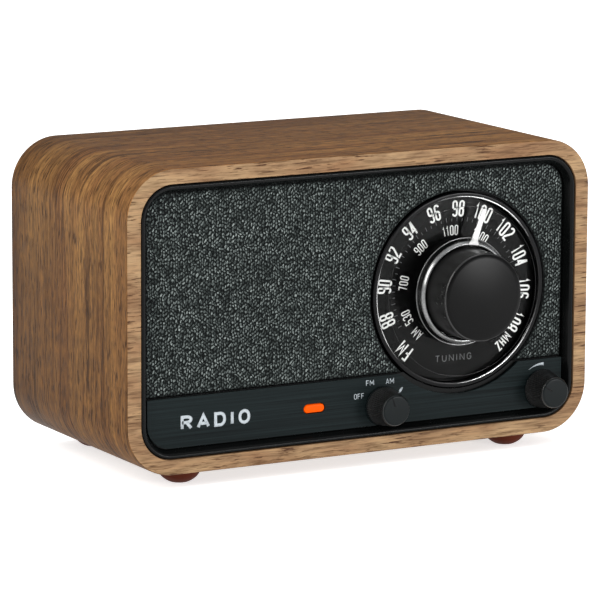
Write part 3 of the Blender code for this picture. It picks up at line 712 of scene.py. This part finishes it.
def wood_part(face):
    """0 for the outer veneer, 1 for the front and rear edges, 2 for the inside."""
    face.normal_update()
    if abs(face.normal.y) > 0.7:
        return 1
    middle = face.calc_center_median()
    off_x = abs(middle.x / MM) - CABINET.width / 2 + CORNER_R
    off_h = abs((middle.z - BASE) / MM - CABINET.h) - CABINET.height / 2 + CORNER_R
    reach = hypot(off_x, off_h) if off_x > 0 and off_h > 0 else max(off_x, off_h)
    return 0 if reach > CORNER_R - WALL / 2 else 2


def build_feet():
    """Four shallow rubber bowls with a flat sole, turned lying down and then stood up."""
    for place in ("front_left", "front_right", "rear_left", "rear_right"):
        node = "foot_" + place
        low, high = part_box(node)
        radius, top = (high.x - low.x) / 2 / MM, high.z / MM
        sides = [(r, height, 0.9) for r, height in FOOT_TURNS]
        profile = [(0, top), (radius, top, 0.2), *sides, (SOLE_R, 0, 0.7), (0, 0)]
        bm = bmesh.new()
        turn(bm, softened(profile, steps=6), 0, 0, 64)
        mesh = mesh_of("rubber_" + node, bm)
        upright = Matrix.Rotation(radians(90), 4, "X") @ Matrix.Translation(-at(0, 0, 0))
        mesh.transform(Matrix.Translation(((low.x + high.x) / 2, (low.y + high.y) / 2, 0)) @ upright)
        add_piece("rubber_" + node, mesh, "brown_rubber", node=node)


def build_rear_cover():
    """The recessed rear panel with a stepped border, cut for its screws and sockets."""
    cover = Extent("rear_cover")
    back = cover.back
    section = softened([(0, cover.front, 0.3), (0, back, 0.4), (5.0, back, 0.2), (5.6, back - 0.5, 0.2)])
    panel = filled("rear_panel", box_rings(cover, BAFFLE_R, section), "black_plastic", node="rear_cover",
                   crease=25)
    holes = [(f"rear_screw_{number}", 1.8, 24) for number in range(1, 5)]
    holes += [("dc_inlet", 5.8, 60), ("aux_jack", 4.3, 60), ("antenna_terminal", 5.1, 60)]
    cut_with(panel, [(circle(Extent(node), radius, count), cover.front - 1, back + 1)
                     for node, radius, count in holes])


# ---- front panel

def build_bezel():
    """The glossy baffle: its lip and chamfer, and the recessed panel behind the grille and strip."""
    section = softened([(0, PANEL_BACK), (0, 0.5, 0.25), (0.6, 0.02, 0.4), (LIP_INSET - 0.1, 0.25, 0.6),
                        (FLOOR_INSET, 3.0, 0.3), (FLOOR_INSET, STRIP_SEAT)])
    bezel = filled("bezel", box_rings(BAFFLE, BAFFLE_R, section), "moulded_black", node="front_baffle",
                   crease=50)
    half = BAFFLE.width / 2 - FLOOR_INSET
    radius = BAFFLE_R - FLOOR_INSET
    recess = rounded_box(-half, STRIP.high + 0.3, half, BAFFLE.high - FLOOR_INSET, (radius, radius, 0, 0))
    holes = [circle(DIAL, RIM_R + 0.4, 144), circle(Extent("speaker_basket"), SPEAKER_HOLE_R, 90),
             pill(Extent("led_lens"), -LENS_GAP)]
    holes += [circle(Extent(node), SHAFT_HOLE_R, 36) for node in ("selector_knob", "volume_knob")]
    cut_with(bezel, [(recess, STRIP_SEAT - 0.5, GRILLE_SEAT)])
    cut_with(bezel, [(hole, STRIP_SEAT - 1, PANEL_BACK + 1) for hole in holes])


def build_lens():
    """The lamp's lens: a pill whose front edge is rounded over."""
    lens = Extent("led_lens")
    section = softened([(lens.height / 2 - 0.05, lens.front), (0, lens.front, 0.6), (0, lens.back)],
                       steps=6)
    filled("lamp_lens", [(pill(lens, inset), depth) for inset, depth in section], "orange_lens",
           node="led_lens")


# ---- cloth

def inside_cloth(x, h):
    """Distance in from the cloth's outline: its rounded top corners, straight sides and dial cut-out."""
    radius = BAFFLE_R - FLOOR_INSET - 0.3
    from_side = np.minimum(x - CLOTH.left, CLOTH.right - x)
    from_top = CLOTH.high - h
    corner = radius - np.hypot(radius - from_side, radius - from_top)
    straight = np.minimum(np.minimum(from_side, from_top), h - CLOTH.low)
    edge = np.where((from_side < radius) & (from_top < radius), corner, straight)
    return np.minimum(edge, np.hypot(x - DIAL.x, h - DIAL.h) - (RIM_R + 0.9))


def weave(x, h):
    """Height, 0 to 1, of a plain weave: staggered warp floats over a lower weft."""
    column = np.floor(x / YARN_PITCH)
    across = x / YARN_PITCH - column - 0.5
    slip = np.mod(np.sin(column * 12.9898) * 43758.5453, 1.0)      # scattered evenly from 0 to 1
    place = h / FLOAT_PITCH + (column % 2) * 0.5 + COLUMN_SLIP * slip
    along = place - np.floor(place) - 0.5
    over = np.clip(1 - (across / 0.5) ** 2, 0, 1) ** 0.5 * np.clip(1 - (along / 0.36) ** 2, 0, 1)
    return 0.25 + 0.75 * over


def build_cloth():
    """The woven grille cloth as a real relief, its cut edges drawn back over the board."""
    step_x = YARN_PITCH / CELL_DIVISIONS
    step_h = FLOAT_PITCH / (2 * CELL_DIVISIONS)
    x, h = np.meshgrid(np.arange(CLOTH.left - step_x, CLOTH.right + 2 * step_x, step_x),
                       np.arange(CLOTH.low - step_h, CLOTH.high + 2 * step_h, step_h), indexing="ij")
    kept = inside_cloth(x[:-1, :-1] + step_x / 2, h[:-1, :-1] + step_h / 2) > 0
    number = np.arange(x.size).reshape(x.shape)
    quads = np.stack([number[:-1, :-1], number[1:, :-1], number[1:, 1:], number[:-1, 1:]], axis=-1)[kept]
    x, h = x.ravel(), h.ravel()
    height = weave(x, h + BASE / MM)
    open_side = np.bincount(quads.ravel(), minlength=x.size) < 4      # not in four quads
    inside = inside_cloth(x, h)
    x, h = drawn_to_outline(x, h, np.where(open_side, inside, 0.0))
    roll = np.clip(1 - np.where(open_side, 0.0, inside) / EDGE_ROLL, 0, 1) ** 2
    depth = CLOTH.front + 0.02 + WEAVE_RELIEF * (1 - height) * (1 - roll) + EDGE_DROP * roll
    used = np.unique(quads)
    points = [tuple(at(*place)) for place in zip(x[used], depth[used], h[used])]
    mesh = bpy.data.meshes.new("woven_cloth")
    mesh.from_pydata(points, [], np.searchsorted(used, quads).tolist())
    # Painted shade: the cloth's colour is darkened by up to four fifths where its edge rolls back.
    painted_edge_shade = mesh.attributes.new("painted_edge_shade", "FLOAT", "POINT")
    painted_edge_shade.data.foreach_set("value", (1 - 0.8 * roll[used]).astype(np.float32))
    hang_edges(mesh, CLOTH.back)
    sheet = add_piece("woven_cloth", mesh, "tweed_cloth", node="grille_cloth", crease=180)
    cloth_area() * MM * MM


def drawn_to_outline(x, h, distance):
    """Move points outwards by their distance, straight towards the outline."""
    reach = 0.01
    slope_x = (inside_cloth(x + reach, h) - inside_cloth(x - reach, h)) / (2 * reach)
    slope_h = (inside_cloth(x, h + reach) - inside_cloth(x, h - reach)) / (2 * reach)
    return x - slope_x * distance, h - slope_h * distance


def hang_edges(mesh, back):
    """Turn the sheet's open edges back to a depth."""
    bm = bmesh.new()
    bm.from_mesh(mesh)
    rim = [edge for edge in bm.edges if len(edge.link_faces) == 1]
    for made in bmesh.ops.extrude_edge_only(bm, edges=rim)["geom"]:
        if isinstance(made, bmesh.types.BMVert):
            made.co.y = FRONT + back * MM
    bmesh.ops.recalc_face_normals(bm, faces=bm.faces)
    bm.to_mesh(mesh)
    bm.free()


def cloth_area():
    """The cloth's flat area in square millimetres, counted on a fine grid."""
    cell = 0.5
    x, h = np.meshgrid(np.arange(CLOTH.left, CLOTH.right, cell), np.arange(CLOTH.low, CLOTH.high, cell))
    return float((inside_cloth(x, h) > 0).sum()) * cell * cell


# ---- dial and knobs

def disc_part(name, profile, look):
    turned(name, profile, DIAL, "clear_acrylic", 192, looks=[look], body="tuning_dial", node="pointer_disc",
           crease=50)


def build_dial():
    """The rim and cup, the printed plate, and the thick clear disc with its collar and pointer."""
    cup = [(CUP_HOLE_R, CUP_FLOOR), (CUP_R, CUP_FLOOR, 0.2), (CUP_R, CUP_LIP, 0.25), (RIM_R, CUP_LIP, 0.5),
           (RIM_R, CUP_SEAT), (RIM.radius, CUP_SEAT, 0.2), (RIM.radius, RIM.back, 0.2),
           (CUP_HOLE_R, RIM.back)]
    turned("dial_rim", cup, DIAL, "gloss_black", 160, node="dial_housing", crease=50)
    plate = [(PLATE_HOLE_R, DIAL.front, 0.1), (DIAL.radius, DIAL.front, 0.1), (DIAL.radius, DIAL.back),
             (PLATE_HOLE_R, DIAL.back)]
    turned("printed_plate", plate, DIAL, "dial_black", 128, node="dial_plate")
    inner = DISC_EDGE - 1.2
    disc = [(SHAFT_BORE_R, DISC.back), (DISC.radius, DISC.back), (DISC.radius, DISC_EDGE, 0.2),
            (DISC_FLAT_R + 0.2, DISC_FRONT + 0.2, 0.2), (DISC_FLAT_R - 0.2, DISC_FRONT, 0.2),
            (ROOT_R - 1.0, DISC_FRONT), (COLLAR_R - 1.5, inner), (SHAFT_BORE_R, inner)]
    disc_part("clear_disc", disc, "clear_acrylic")
    # The inner bead carries painted highlights at three angles round the dial.
    turned("rim_edge", bead(*RIM_BEAD), DIAL, "gloss_black", 192, looks=["rim_painted_glints"], crease=50)
    disc_part("bevel_line", bead(DISC_FLAT_R, DISC_FRONT + 0.1, 0.07), "acrylic_wall")
    lip = DISC.front
    wall = [(ROOT_R, DISC_FRONT + 0.01), (ROOT_R - 0.25, DISC_FRONT - 0.35, 0.15),
            (COLLAR_R + 0.02, lip + 1.2), (COLLAR_BORE_R, lip + 1.2), (COLLAR_BORE_R, inner),
            (ROOT_R - 1.0, DISC_FRONT + 0.01)]
    disc_part("collar_wall", wall, "acrylic_wall")
    chamfer = [(COLLAR_R + 0.02, lip + 1.22), (COLLAR_R - 0.05, lip + 0.95, 0.25),
               (COLLAR_R - 0.8, lip, 0.25), (COLLAR_R - 1.35, lip + 0.1, 0.2), (COLLAR_BORE_R, lip + 1.22)]
    disc_part("collar_lip", chamfer, "acrylic_edge")
    disc_part("collar_root", bead(ROOT_R + 0.05, DISC_FRONT - 0.05, 0.14), "acrylic_edge")


def build_pointer():
    """A white line down the disc and over its collar, straight as seen from the listener's left."""
    lip = DISC.front
    path = ((30.9, DISC_FRONT, 16.7, 0.85), (25.0, DISC_FRONT, 15.7, 1.05),
            (ROOT_R + 0.2, DISC_FRONT, 14.4, 1.3), (ROOT_R - 0.1, DISC_FRONT - 0.45, 13.5, 1.35),
            (COLLAR_R + 0.4, lip + 1.75, 11.8, 1.4), (COLLAR_R + 0.1, lip + 1.1, 10.5, 1.5),
            (COLLAR_R - 0.75, lip, 7.9, 2.1), (COLLAR_R - 1.3, lip, 7.2, 2.2))
    bm = bmesh.new()
    rows = []
    for radius, depth, angle, half in path:
        places = (clock(DIAL, radius, angle, side) for side in (-half, 0, half))
        rows.append([bm.verts.new(at(x, depth - 0.04, h)) for x, h in places])
    strip(bm, rows)
    print_piece("pointer_line", bm, "pointer_ink", "satin_black", 0.05, "tuning_dial")


def knob_looks(piece):
    """Side faces a little glossier than the front, and the rounded edge between them glossier still; both are
    painted lighter than the front, as painted light on the side and a painted highlight on the edge.
    """
    for look in ("satin_black_painted_lit_side", "satin_black_painted_highlight_edge"):
        piece.data.materials.append(LOOK[look])
    for face in piece.data.polygons:
        if abs(face.normal.y) < 0.3:
            face.material_index = 1
        elif -0.88 < face.normal.y < -0.3:
            face.material_index = 2


def build_tuning_knob():
    """A hollow cap with a slightly crowned face and a hub for the shaft."""
    knob = Extent("tuning_knob")
    face, back = knob.front, knob.back
    side_r, face_r, crown, hub_r = 16.2, 15.7, 1.2, 5.8
    inside, hub_end = face + 2.8, face + 6.3
    profile = [(face_r * i / 10, face + crown * (i / 10) ** 2) for i in range(11)]
    profile += [(side_r, face + crown + 0.5, 0.45), (side_r + 0.3, back, 0.2), (side_r - 1.7, back, 0.2),
                (side_r - 1.8, inside, 0.3), (hub_r, inside, 0.3), (hub_r, back, 0.2),
                (SHAFT_BORE_R, back), (SHAFT_BORE_R, hub_end), (0, hub_end)]
    knob_looks(turned("tuning_grip", profile, knob, "satin_black", 128, body="tuning_dial",
                      node="tuning_knob", crease=50))


def build_small_knob(name, mark_at):
    """A tapered knob with a finely ribbed side and a mark across its face."""
    knob = Extent(name + "_knob")
    face, back = knob.front, knob.back
    face_r, back_r, recess_r, bore_end = 5.7, knob.radius, 6.3, face + 2.8
    ribs, rib_depth = 56, 0.05
    profile = [(0, face + 0.1), (face_r - 0.5, face, 0.5), (face_r, face + 0.5, 0.4),
               (face_r + 0.1, face + 1.0), (back_r - 0.1, back - 0.6), (back_r, back, 0.2),
               (recess_r, back), (recess_r, back - 0.9), (SHAFT_BORE_R, back - 0.9),
               (SHAFT_BORE_R, bore_end), (0, bore_end)]
    bm = bmesh.new()
    turn(bm, softened(profile), knob.x, knob.h, ribs * 4)
    middle = at(knob.x, 0, knob.h)
    for vert in bm.verts:
        across, depth, up = (vert.co - middle) / MM
        if face + 0.9 < depth < back - 0.5 and hypot(across, up) > face_r:
            ridge = 1 - rib_depth * (0.5 - 0.5 * cos(ribs * atan2(up, across)))
            vert.co.x = middle.x + across * ridge * MM
            vert.co.z = middle.z + up * ridge * MM
    knob_looks(add_piece(name + "_grip", mesh_of(name + "_grip", bm), "satin_black", ["satin_black_small"],
                         body=name, node=name + "_knob"))
    mark = bar(knob, mark_at, 1.6, face_r - 0.5, 0.22)
    filled(name + "_mark", ((mark, face - 0.06), (mark, face + 0.5)), "gloss_black", body=name)


# ---- lettering

def strokes(letter, k):
    """Centre lines of a letter in a unit box; k is half the box's width over its height."""
    top, low, waist = 1 - k, k, 0.52

    def bowl(middle, start, end, squash=k):
        """Half an ellipse's arc, or part of it, about (0.5, middle)."""
        steps = max(2, round(abs(end - start) / 15))
        angles = (radians(start + (end - start) * i / steps) for i in range(steps + 1))
        return [(0.5 + 0.5 * cos(a), middle + squash * sin(a)) for a in angles]

    left, right, foot, head = [(0, 0), (0, 1)], [(1, 0), (1, 1)], bowl(low, 180, 360), bowl(top, 0, 180)
    ring = head + foot
    forms = {
        "0": [ring + ring[:1]],
        "1": [[(0, 0.80), (0.42, 0.86), (0.55, 1), (0.55, 0)]],
        "2": [bowl(top, 180, 0) + [(1, 0.70), (0, 0.16), (0, 0), (1, 0)]],
        "3": [bowl(top, 180, 0) + bowl(waist + k, 0, -90), bowl(waist - k, 90, 0) + bowl(low, 0, -180)],
        "4": [[(0.72, 0), (0.72, 1)], [(0.66, 1), (0, 0.3), (1, 0.3)]],
        "5": [[(1, 1), (0, 1), (0, waist)] + bowl(waist - k + 0.06, 120, 0) + bowl(low, 0, -180)],
        "6": [ring + bowl(waist - k + 0.04, 0, 180)],
        "7": [[(0, 1), (1, 1), (0.35, 0)]],
        "8": [head + bowl(waist + k, 180, 360) + [(1, top)],
              bowl(waist - k, 0, 180) + foot + [(1, waist - k)]],
        "9": [foot + head + bowl(waist + k - 0.04, 180, 360)],
        "A": [[(0, 0), (0.5, 1), (1, 0)], [(0.16, 0.3), (0.84, 0.3)]],
        "C": [bowl(top, 20, 180) + bowl(low, 180, 340)],
        "D": [left + bowl(top, 90, 0) + bowl(low, 0, -90) + [(0, 0)]],
        "F": [left + [(1, 1)], [(0, waist), (0.85, waist)]],
        "G": [bowl(top, 20, 180) + foot + [(1, 0.45), (0.55, 0.45)]],
        "H": [left, right, [(0, waist), (1, waist)]],
        "I": [[(0.5, 0), (0.5, 1)]],
        "M": [left + [(0.5, 0.3), (1, 1), (1, 0)]],
        "N": [left + right],
        "O": [ring + ring[:1]],
        "R": [left + bowl((1 + waist) / 2, 90, -90, (1 - waist) / 2) + [(0, waist)], [(0.5, waist), (1, 0)]],
        "T": [[(0, 1), (1, 1)], [(0.5, 1), (0.5, 0)]],
        "U": [[(0, 1)] + foot + [(1, 1)]],
        "X": [[(0, 0), (1, 1)], [(0, 1), (1, 0)]],
        "Z": [[(0, 1), (1, 1), (0, 0), (1, 0)]],
    }
    return forms[letter]


def ribbon(bm, points, thick, depth):
    """A flat stroke of even thickness along a line of (x, height) points, mitred at its corners."""
    line = [Vector(p) for p in points]
    closed = (line[0] - line[-1]).length < 1e-6
    if closed:
        line.pop()
    count = len(line)
    rows = []
    for i, point in enumerate(line):
        before = line[i] - line[i - 1] if closed or i > 0 else line[1] - line[0]
        after = line[(i + 1) % count] - line[i] if closed or i < count - 1 else before
        before.normalize()
        after.normalize()
        along = before + after
        along = along.normalized() if along.length > 1e-6 else before
        normal = Vector((-along.y, along.x))
        stretch = 1 / max(0.5, normal.dot(Vector((-before.y, before.x))))
        offset = normal * thick / 2 * stretch
        rows.append([bm.verts.new(at(p.x, depth, p.y)) for p in (point + offset, point - offset)])
    strip(bm, rows, closed)


def write(bm, text, size, depth, place=None, ring=None):
    """Letters of a type size, centred on a place (x, h) or, tops outwards, on a ring (radius, angle)."""
    tall, wide, thick, gap = size
    widths = [(wide - thick) * LETTER_WIDTHS.get(letter, 1.0) for letter in text]
    start = -(sum(widths) + (gap + thick) * (len(text) - 1)) / 2
    box_h = tall - thick
    layer = 0.0
    for letter, width in zip(text, widths):
        for line in strokes(letter, 0.5 * max(width, 0.3 * wide) / box_h):
            flat = [(px * width, (py - 0.5) * box_h) for px, py in line]
            if ring:
                radius, angle = ring
                turned_by = angle + degrees((start + width / 2) / radius)
                flat = [clock(DIAL, radius + py, turned_by, px - width / 2) for px, py in flat]
            else:
                flat = [(place[0] + start + px, place[1] + py) for px, py in flat]
            ribbon(bm, flat, thick, depth - layer)
            layer += LAYER
        start += width + gap + thick


def print_piece(name, bm, look, slot, thickness=0.03, body=RADIO):
    mesh = bpy.data.meshes.new(name)
    bm.to_mesh(mesh)
    bm.free()
    solid = add_piece(name, mesh, slot, [look], body).modifiers.new("ink", "SOLIDIFY")
    solid.thickness = thickness * MM
    solid.offset = 0


def build_dial_print():
    """Frequency numbers round two rings, tick marks between them and one word at the foot."""
    depth = DIAL.front - 0.03
    bm = bmesh.new()
    for text, angle in FM_MARKS:
        write(bm, text, FM_TYPE, depth, ring=(FM_RING, angle))
    write(bm, "MHZ", UNIT_TYPE, depth, ring=(FM_RING + 0.5, UNIT_AT))
    for text, angle in AM_MARKS:
        write(bm, text, AM_TYPE, depth, ring=(AM_RING, angle))
    print_piece("dial_numbers", bm, "white_ink", "dial_black")
    bm = bmesh.new()
    for number in range(TICKS):
        outer = 26.0 if number % 2 else 26.6
        angle = TICKS_FROM + TICK_STEP * number
        ribbon(bm, [clock(DIAL, radius, angle) for radius in (25.0, outer)], 0.22, depth)
    write(bm, "TUNING", DIAL_WORD_TYPE, depth, (DIAL.x, DIAL.h - 25.5))
    print_piece("dial_ticks", bm, "grey_ink", "dial_black")


def build_strip_print():
    """Band names, a plug mark, the volume wedge and a plain word on the control strip."""
    depth = STRIP.front - 0.02
    bm = bmesh.new()
    write(bm, "FM", BAND_TYPE, depth, (4.2, 25.0))
    write(bm, "AM", BAND_TYPE, depth, (12.5, 24.9))
    write(bm, "OFF", OFF_TYPE, depth, (-0.3, 20.5))
    build_plug_mark(bm, Vector((16.9, 21.0)), depth)
    build_wedge(bm, Extent("volume_knob"), depth)
    print_piece("strip_marks", bm, "silver_ink", "brushed_black_metal")
    bm = bmesh.new()
    write(bm, "RADIO", STRIP_WORD_TYPE, depth, (-58.8, 17.8))
    print_piece("strip_word", bm, "silver_ink", "brushed_black_metal")


def build_plug_mark(bm, place, depth):
    """A small plug, aslant: its cable, body, pin and collar."""
    along, across = Vector((0.62, 0.78)), Vector((0.78, -0.62))
    for number, (start, end, thick) in enumerate(((-1.2, -0.5, 0.28), (-0.5, 0.7, 0.95), (0.7, 1.5, 0.4))):
        ribbon(bm, [place + along * s for s in (start, end)], thick, depth - LAYER * number)
    ribbon(bm, [place + along * 0.95 + across * s for s in (-0.45, 0.45)], 0.25, depth - LAYER * 4)


def build_wedge(bm, knob, depth):
    """The volume mark: an arc over the knob that grows from a hair to its full width."""
    radius, start, end, thick, steps = 9.2, -37.0, 6.0, 1.15, 14
    rows = []
    for t in (i / steps for i in range(steps + 1)):
        half = max(0.04, thick / 2 * t)
        places = (clock(knob, r, start + (end - start) * t) for r in (radius - half, radius + half))
        rows.append([bm.verts.new(at(x, depth, h)) for x, h in places])
    strip(bm, rows)


# ---- rear fittings

def build_rear_print():
    """Plain words over the sockets, written mirrored so that they read from behind."""
    depth = Extent("rear_cover").back - 0.5
    bm = bmesh.new()
    for words, node in ((("IN", "DC"), "dc_inlet"), (("AUX",), "aux_jack"), (("ANT",), "antenna_terminal")):
        jack = Extent(node)
        for row, word in enumerate(words):
            write(bm, word, SOCKET_TYPE, depth, (-jack.x, jack.h + 8.0 + 3.4 * row))
    for vert in bm.verts:
        vert.co.x = -vert.co.x
        vert.co.y = 2 * (FRONT + depth * MM) - vert.co.y
    bmesh.ops.reverse_faces(bm, faces=bm.faces)
    print_piece("socket_names", bm, "silver_ink", "black_plastic")


def build_rear_screws():
    """Pan-head screws with a cross recess."""
    for number in range(1, 5):
        screw = Extent(f"rear_screw_{number}")
        tip, top = screw.front, screw.back
        seat, shank_r = top - 1.6, 1.5
        profile = [(0, tip), (shank_r, tip + 1.5), (shank_r, seat, 0.1), (3.2, seat, 0.1),
                   (3.0, top - 0.5, 0.5), (1.8, top, 0.5), (0, top)]
        made = turned(f"pan_screw_{number}", profile, screw, "bright_steel", 48, node=f"rear_screw_{number}")
        for quarter in (90, 0):
            slot = bar(screw, quarter - 27 * number, -1.7, 1.7, 0.3)
            cut_with(made, [(slot, top - 1.0, top + 1.0)])


def build_sockets():
    """The three rear sockets, turned finely to the CAD model's own sections."""
    start, shoulder, mouth = 79.3, 88.7, 93.2
    power = [(5.5, mouth, 0.3), (3.2, mouth, 0.3), (3.2, 84.0), (1.0, 84.0), (1.0, 92.4, 0.3), (0, 92.4)]
    aux = [(4.0, mouth, 0.3), (1.9, mouth, 0.3), (1.9, 82.0), (0, 82.0)]
    aerial = [(4.8, 93.4, 0.3), (4.0, 93.4, 0.2), (4.0, 90.0), (0.9, 90.0), (0.9, 88.0), (0, 88.0)]
    for name, node, slot, radius, neck in (
            ("power_socket", "dc_inlet", "black_plastic", 6.5, power),
            ("aux_socket", "aux_jack", "black_plastic", 5.5, aux),
            ("aerial_socket", "antenna_terminal", "bright_steel", 6.0, aerial)):
        body = [(0, start), (radius, start, 0.2), (radius, shoulder, 0.2), (neck[0][0], shoulder)]
        turned(name, body + neck, Extent(node), slot, 64, node=node)


# ---- CAD nodes that stay

def dress_frame():
    """Each takes its slot's material, except that the voice coil is wound the other way."""
    for part in frame["record"]["subparts"]:
        node, look = frame["nodes"][part["node"]], part["material_slot"]
        if not node.hide_render:
            for slot in node.material_slots:
                slot.material = LOOK["voice_coil_wire" if part["node"] == "voice_coil" else look]
    edge = frame["nodes"]["control_strip"].modifiers.new("edge", "BEVEL")
    edge.width = 0.15 * MM
    edge.segments = 2
    edge.limit_method = "ANGLE"
    edge.angle_limit = radians(50)


# ---- studio

def add_camera():
    yaw, pitch, roll = radians(CAMERA_YAW), radians(CAMERA_PITCH), radians(CAMERA_ROLL)
    forward = Vector((sin(yaw) * cos(pitch), cos(yaw) * cos(pitch), -sin(pitch)))
    level = Vector((cos(yaw), -sin(yaw), 0))
    upright = level.cross(forward)
    right = level * cos(roll) + upright * sin(roll)
    up = upright * cos(roll) - level * sin(roll)
    camera = in_scene("camera", bpy.data.cameras.new("camera"))
    camera.data.lens = CAMERA_LENS
    camera.data.sensor_width = 36.0
    camera.data.clip_start = 0.05
    camera.data.clip_end = 60.0
    place = at(*CAMERA_AIM) - forward * CAMERA_DISTANCE * MM
    camera.matrix_world = Matrix.Translation(place) @ Matrix((right, up, -forward)).transposed().to_4x4()
    SCENE.camera = camera


def add_floor():
    bm = bmesh.new()
    bmesh.ops.create_circle(bm, cap_ends=True, segments=64, radius=14.0)
    mesh = mesh_of("studio_floor", bm)
    surface = Surface("floor_paper", roughness=0.9, specular=0.1, glow=0.66, glow_colour=grey(1.0))
    surface.paint(surface.noise(60.0, 3.0).ramp((0.3, (0.93, 0.93, 0.935)), (0.7, (0.95, 0.95, 0.955))))
    mesh.materials.append(surface.material)
    in_scene("studio_floor", mesh)


def add_softbox(name, place, size, power, colour=(1.0, 1.0, 1.0)):
    """A rectangular light aimed at the radio's middle."""
    lamp = bpy.data.lights.new(name, "AREA")
    lamp.shape = "RECTANGLE"
    lamp.size, lamp.size_y = size
    lamp.energy = power
    lamp.color = colour
    made = in_scene(name, lamp)
    made.location = place
    made.rotation_euler = (Vector((0.0, 0.0, 0.05)) - Vector(place)).to_track_quat("-Z", "Y").to_euler()


def add_surroundings(level, overhead):
    """A plain studio: dim at eye level and bright overhead, the same all the way round."""
    world = bpy.data.worlds.new("studio")
    world.use_nodes = True
    tree = world.node_tree
    where, parts, rise = (tree.nodes.new("ShaderNode" + kind)
                          for kind in ("TexCoord", "SeparateXYZ", "MapRange"))
    rise.inputs["To Min"].default_value = level
    rise.inputs["To Max"].default_value = overhead
    background = tree.nodes["Background"]
    background.inputs["Color"].default_value = (0.975, 0.985, 1.0, 1.0)
    tree.links.new(where.outputs["Generated"], parts.inputs[0])
    tree.links.new(parts.outputs["Z"], rise.inputs["Value"])
    tree.links.new(rise.outputs[0], background.inputs["Strength"])
    SCENE.world = world


def add_studio():
    """Pale floor, surroundings brightest overhead, and softboxes to the left, in front and above."""
    add_floor()
    add_surroundings(0.3, 1.05)
    add_softbox("left_strip", (-1.35, -0.65, 0.9), (0.4, 1.2), 14.0, (1.0, 0.98, 0.95))
    add_softbox("front_panel", (0.85, -1.45, 0.22), (0.45, 0.24), 12.0)
    add_softbox("overhead", (0.3, 0.35, 1.7), (1.2, 0.7), 6.0)
    SCENE.view_settings.view_transform = "Standard"
    SCENE.cycles.caustics_reflective = False


# ---- the radio

add_camera()
build_cabinet()
build_feet()
build_rear_cover()
build_bezel()
build_cloth()
build_lens()
build_dial()
build_pointer()
build_tuning_knob()
build_small_knob("selector", SELECTOR_AT)
build_small_knob("volume", VOLUME_AT)
build_dial_print()
build_strip_print()
build_rear_screws()
build_sockets()
build_rear_print()
dress_frame()
add_studio()
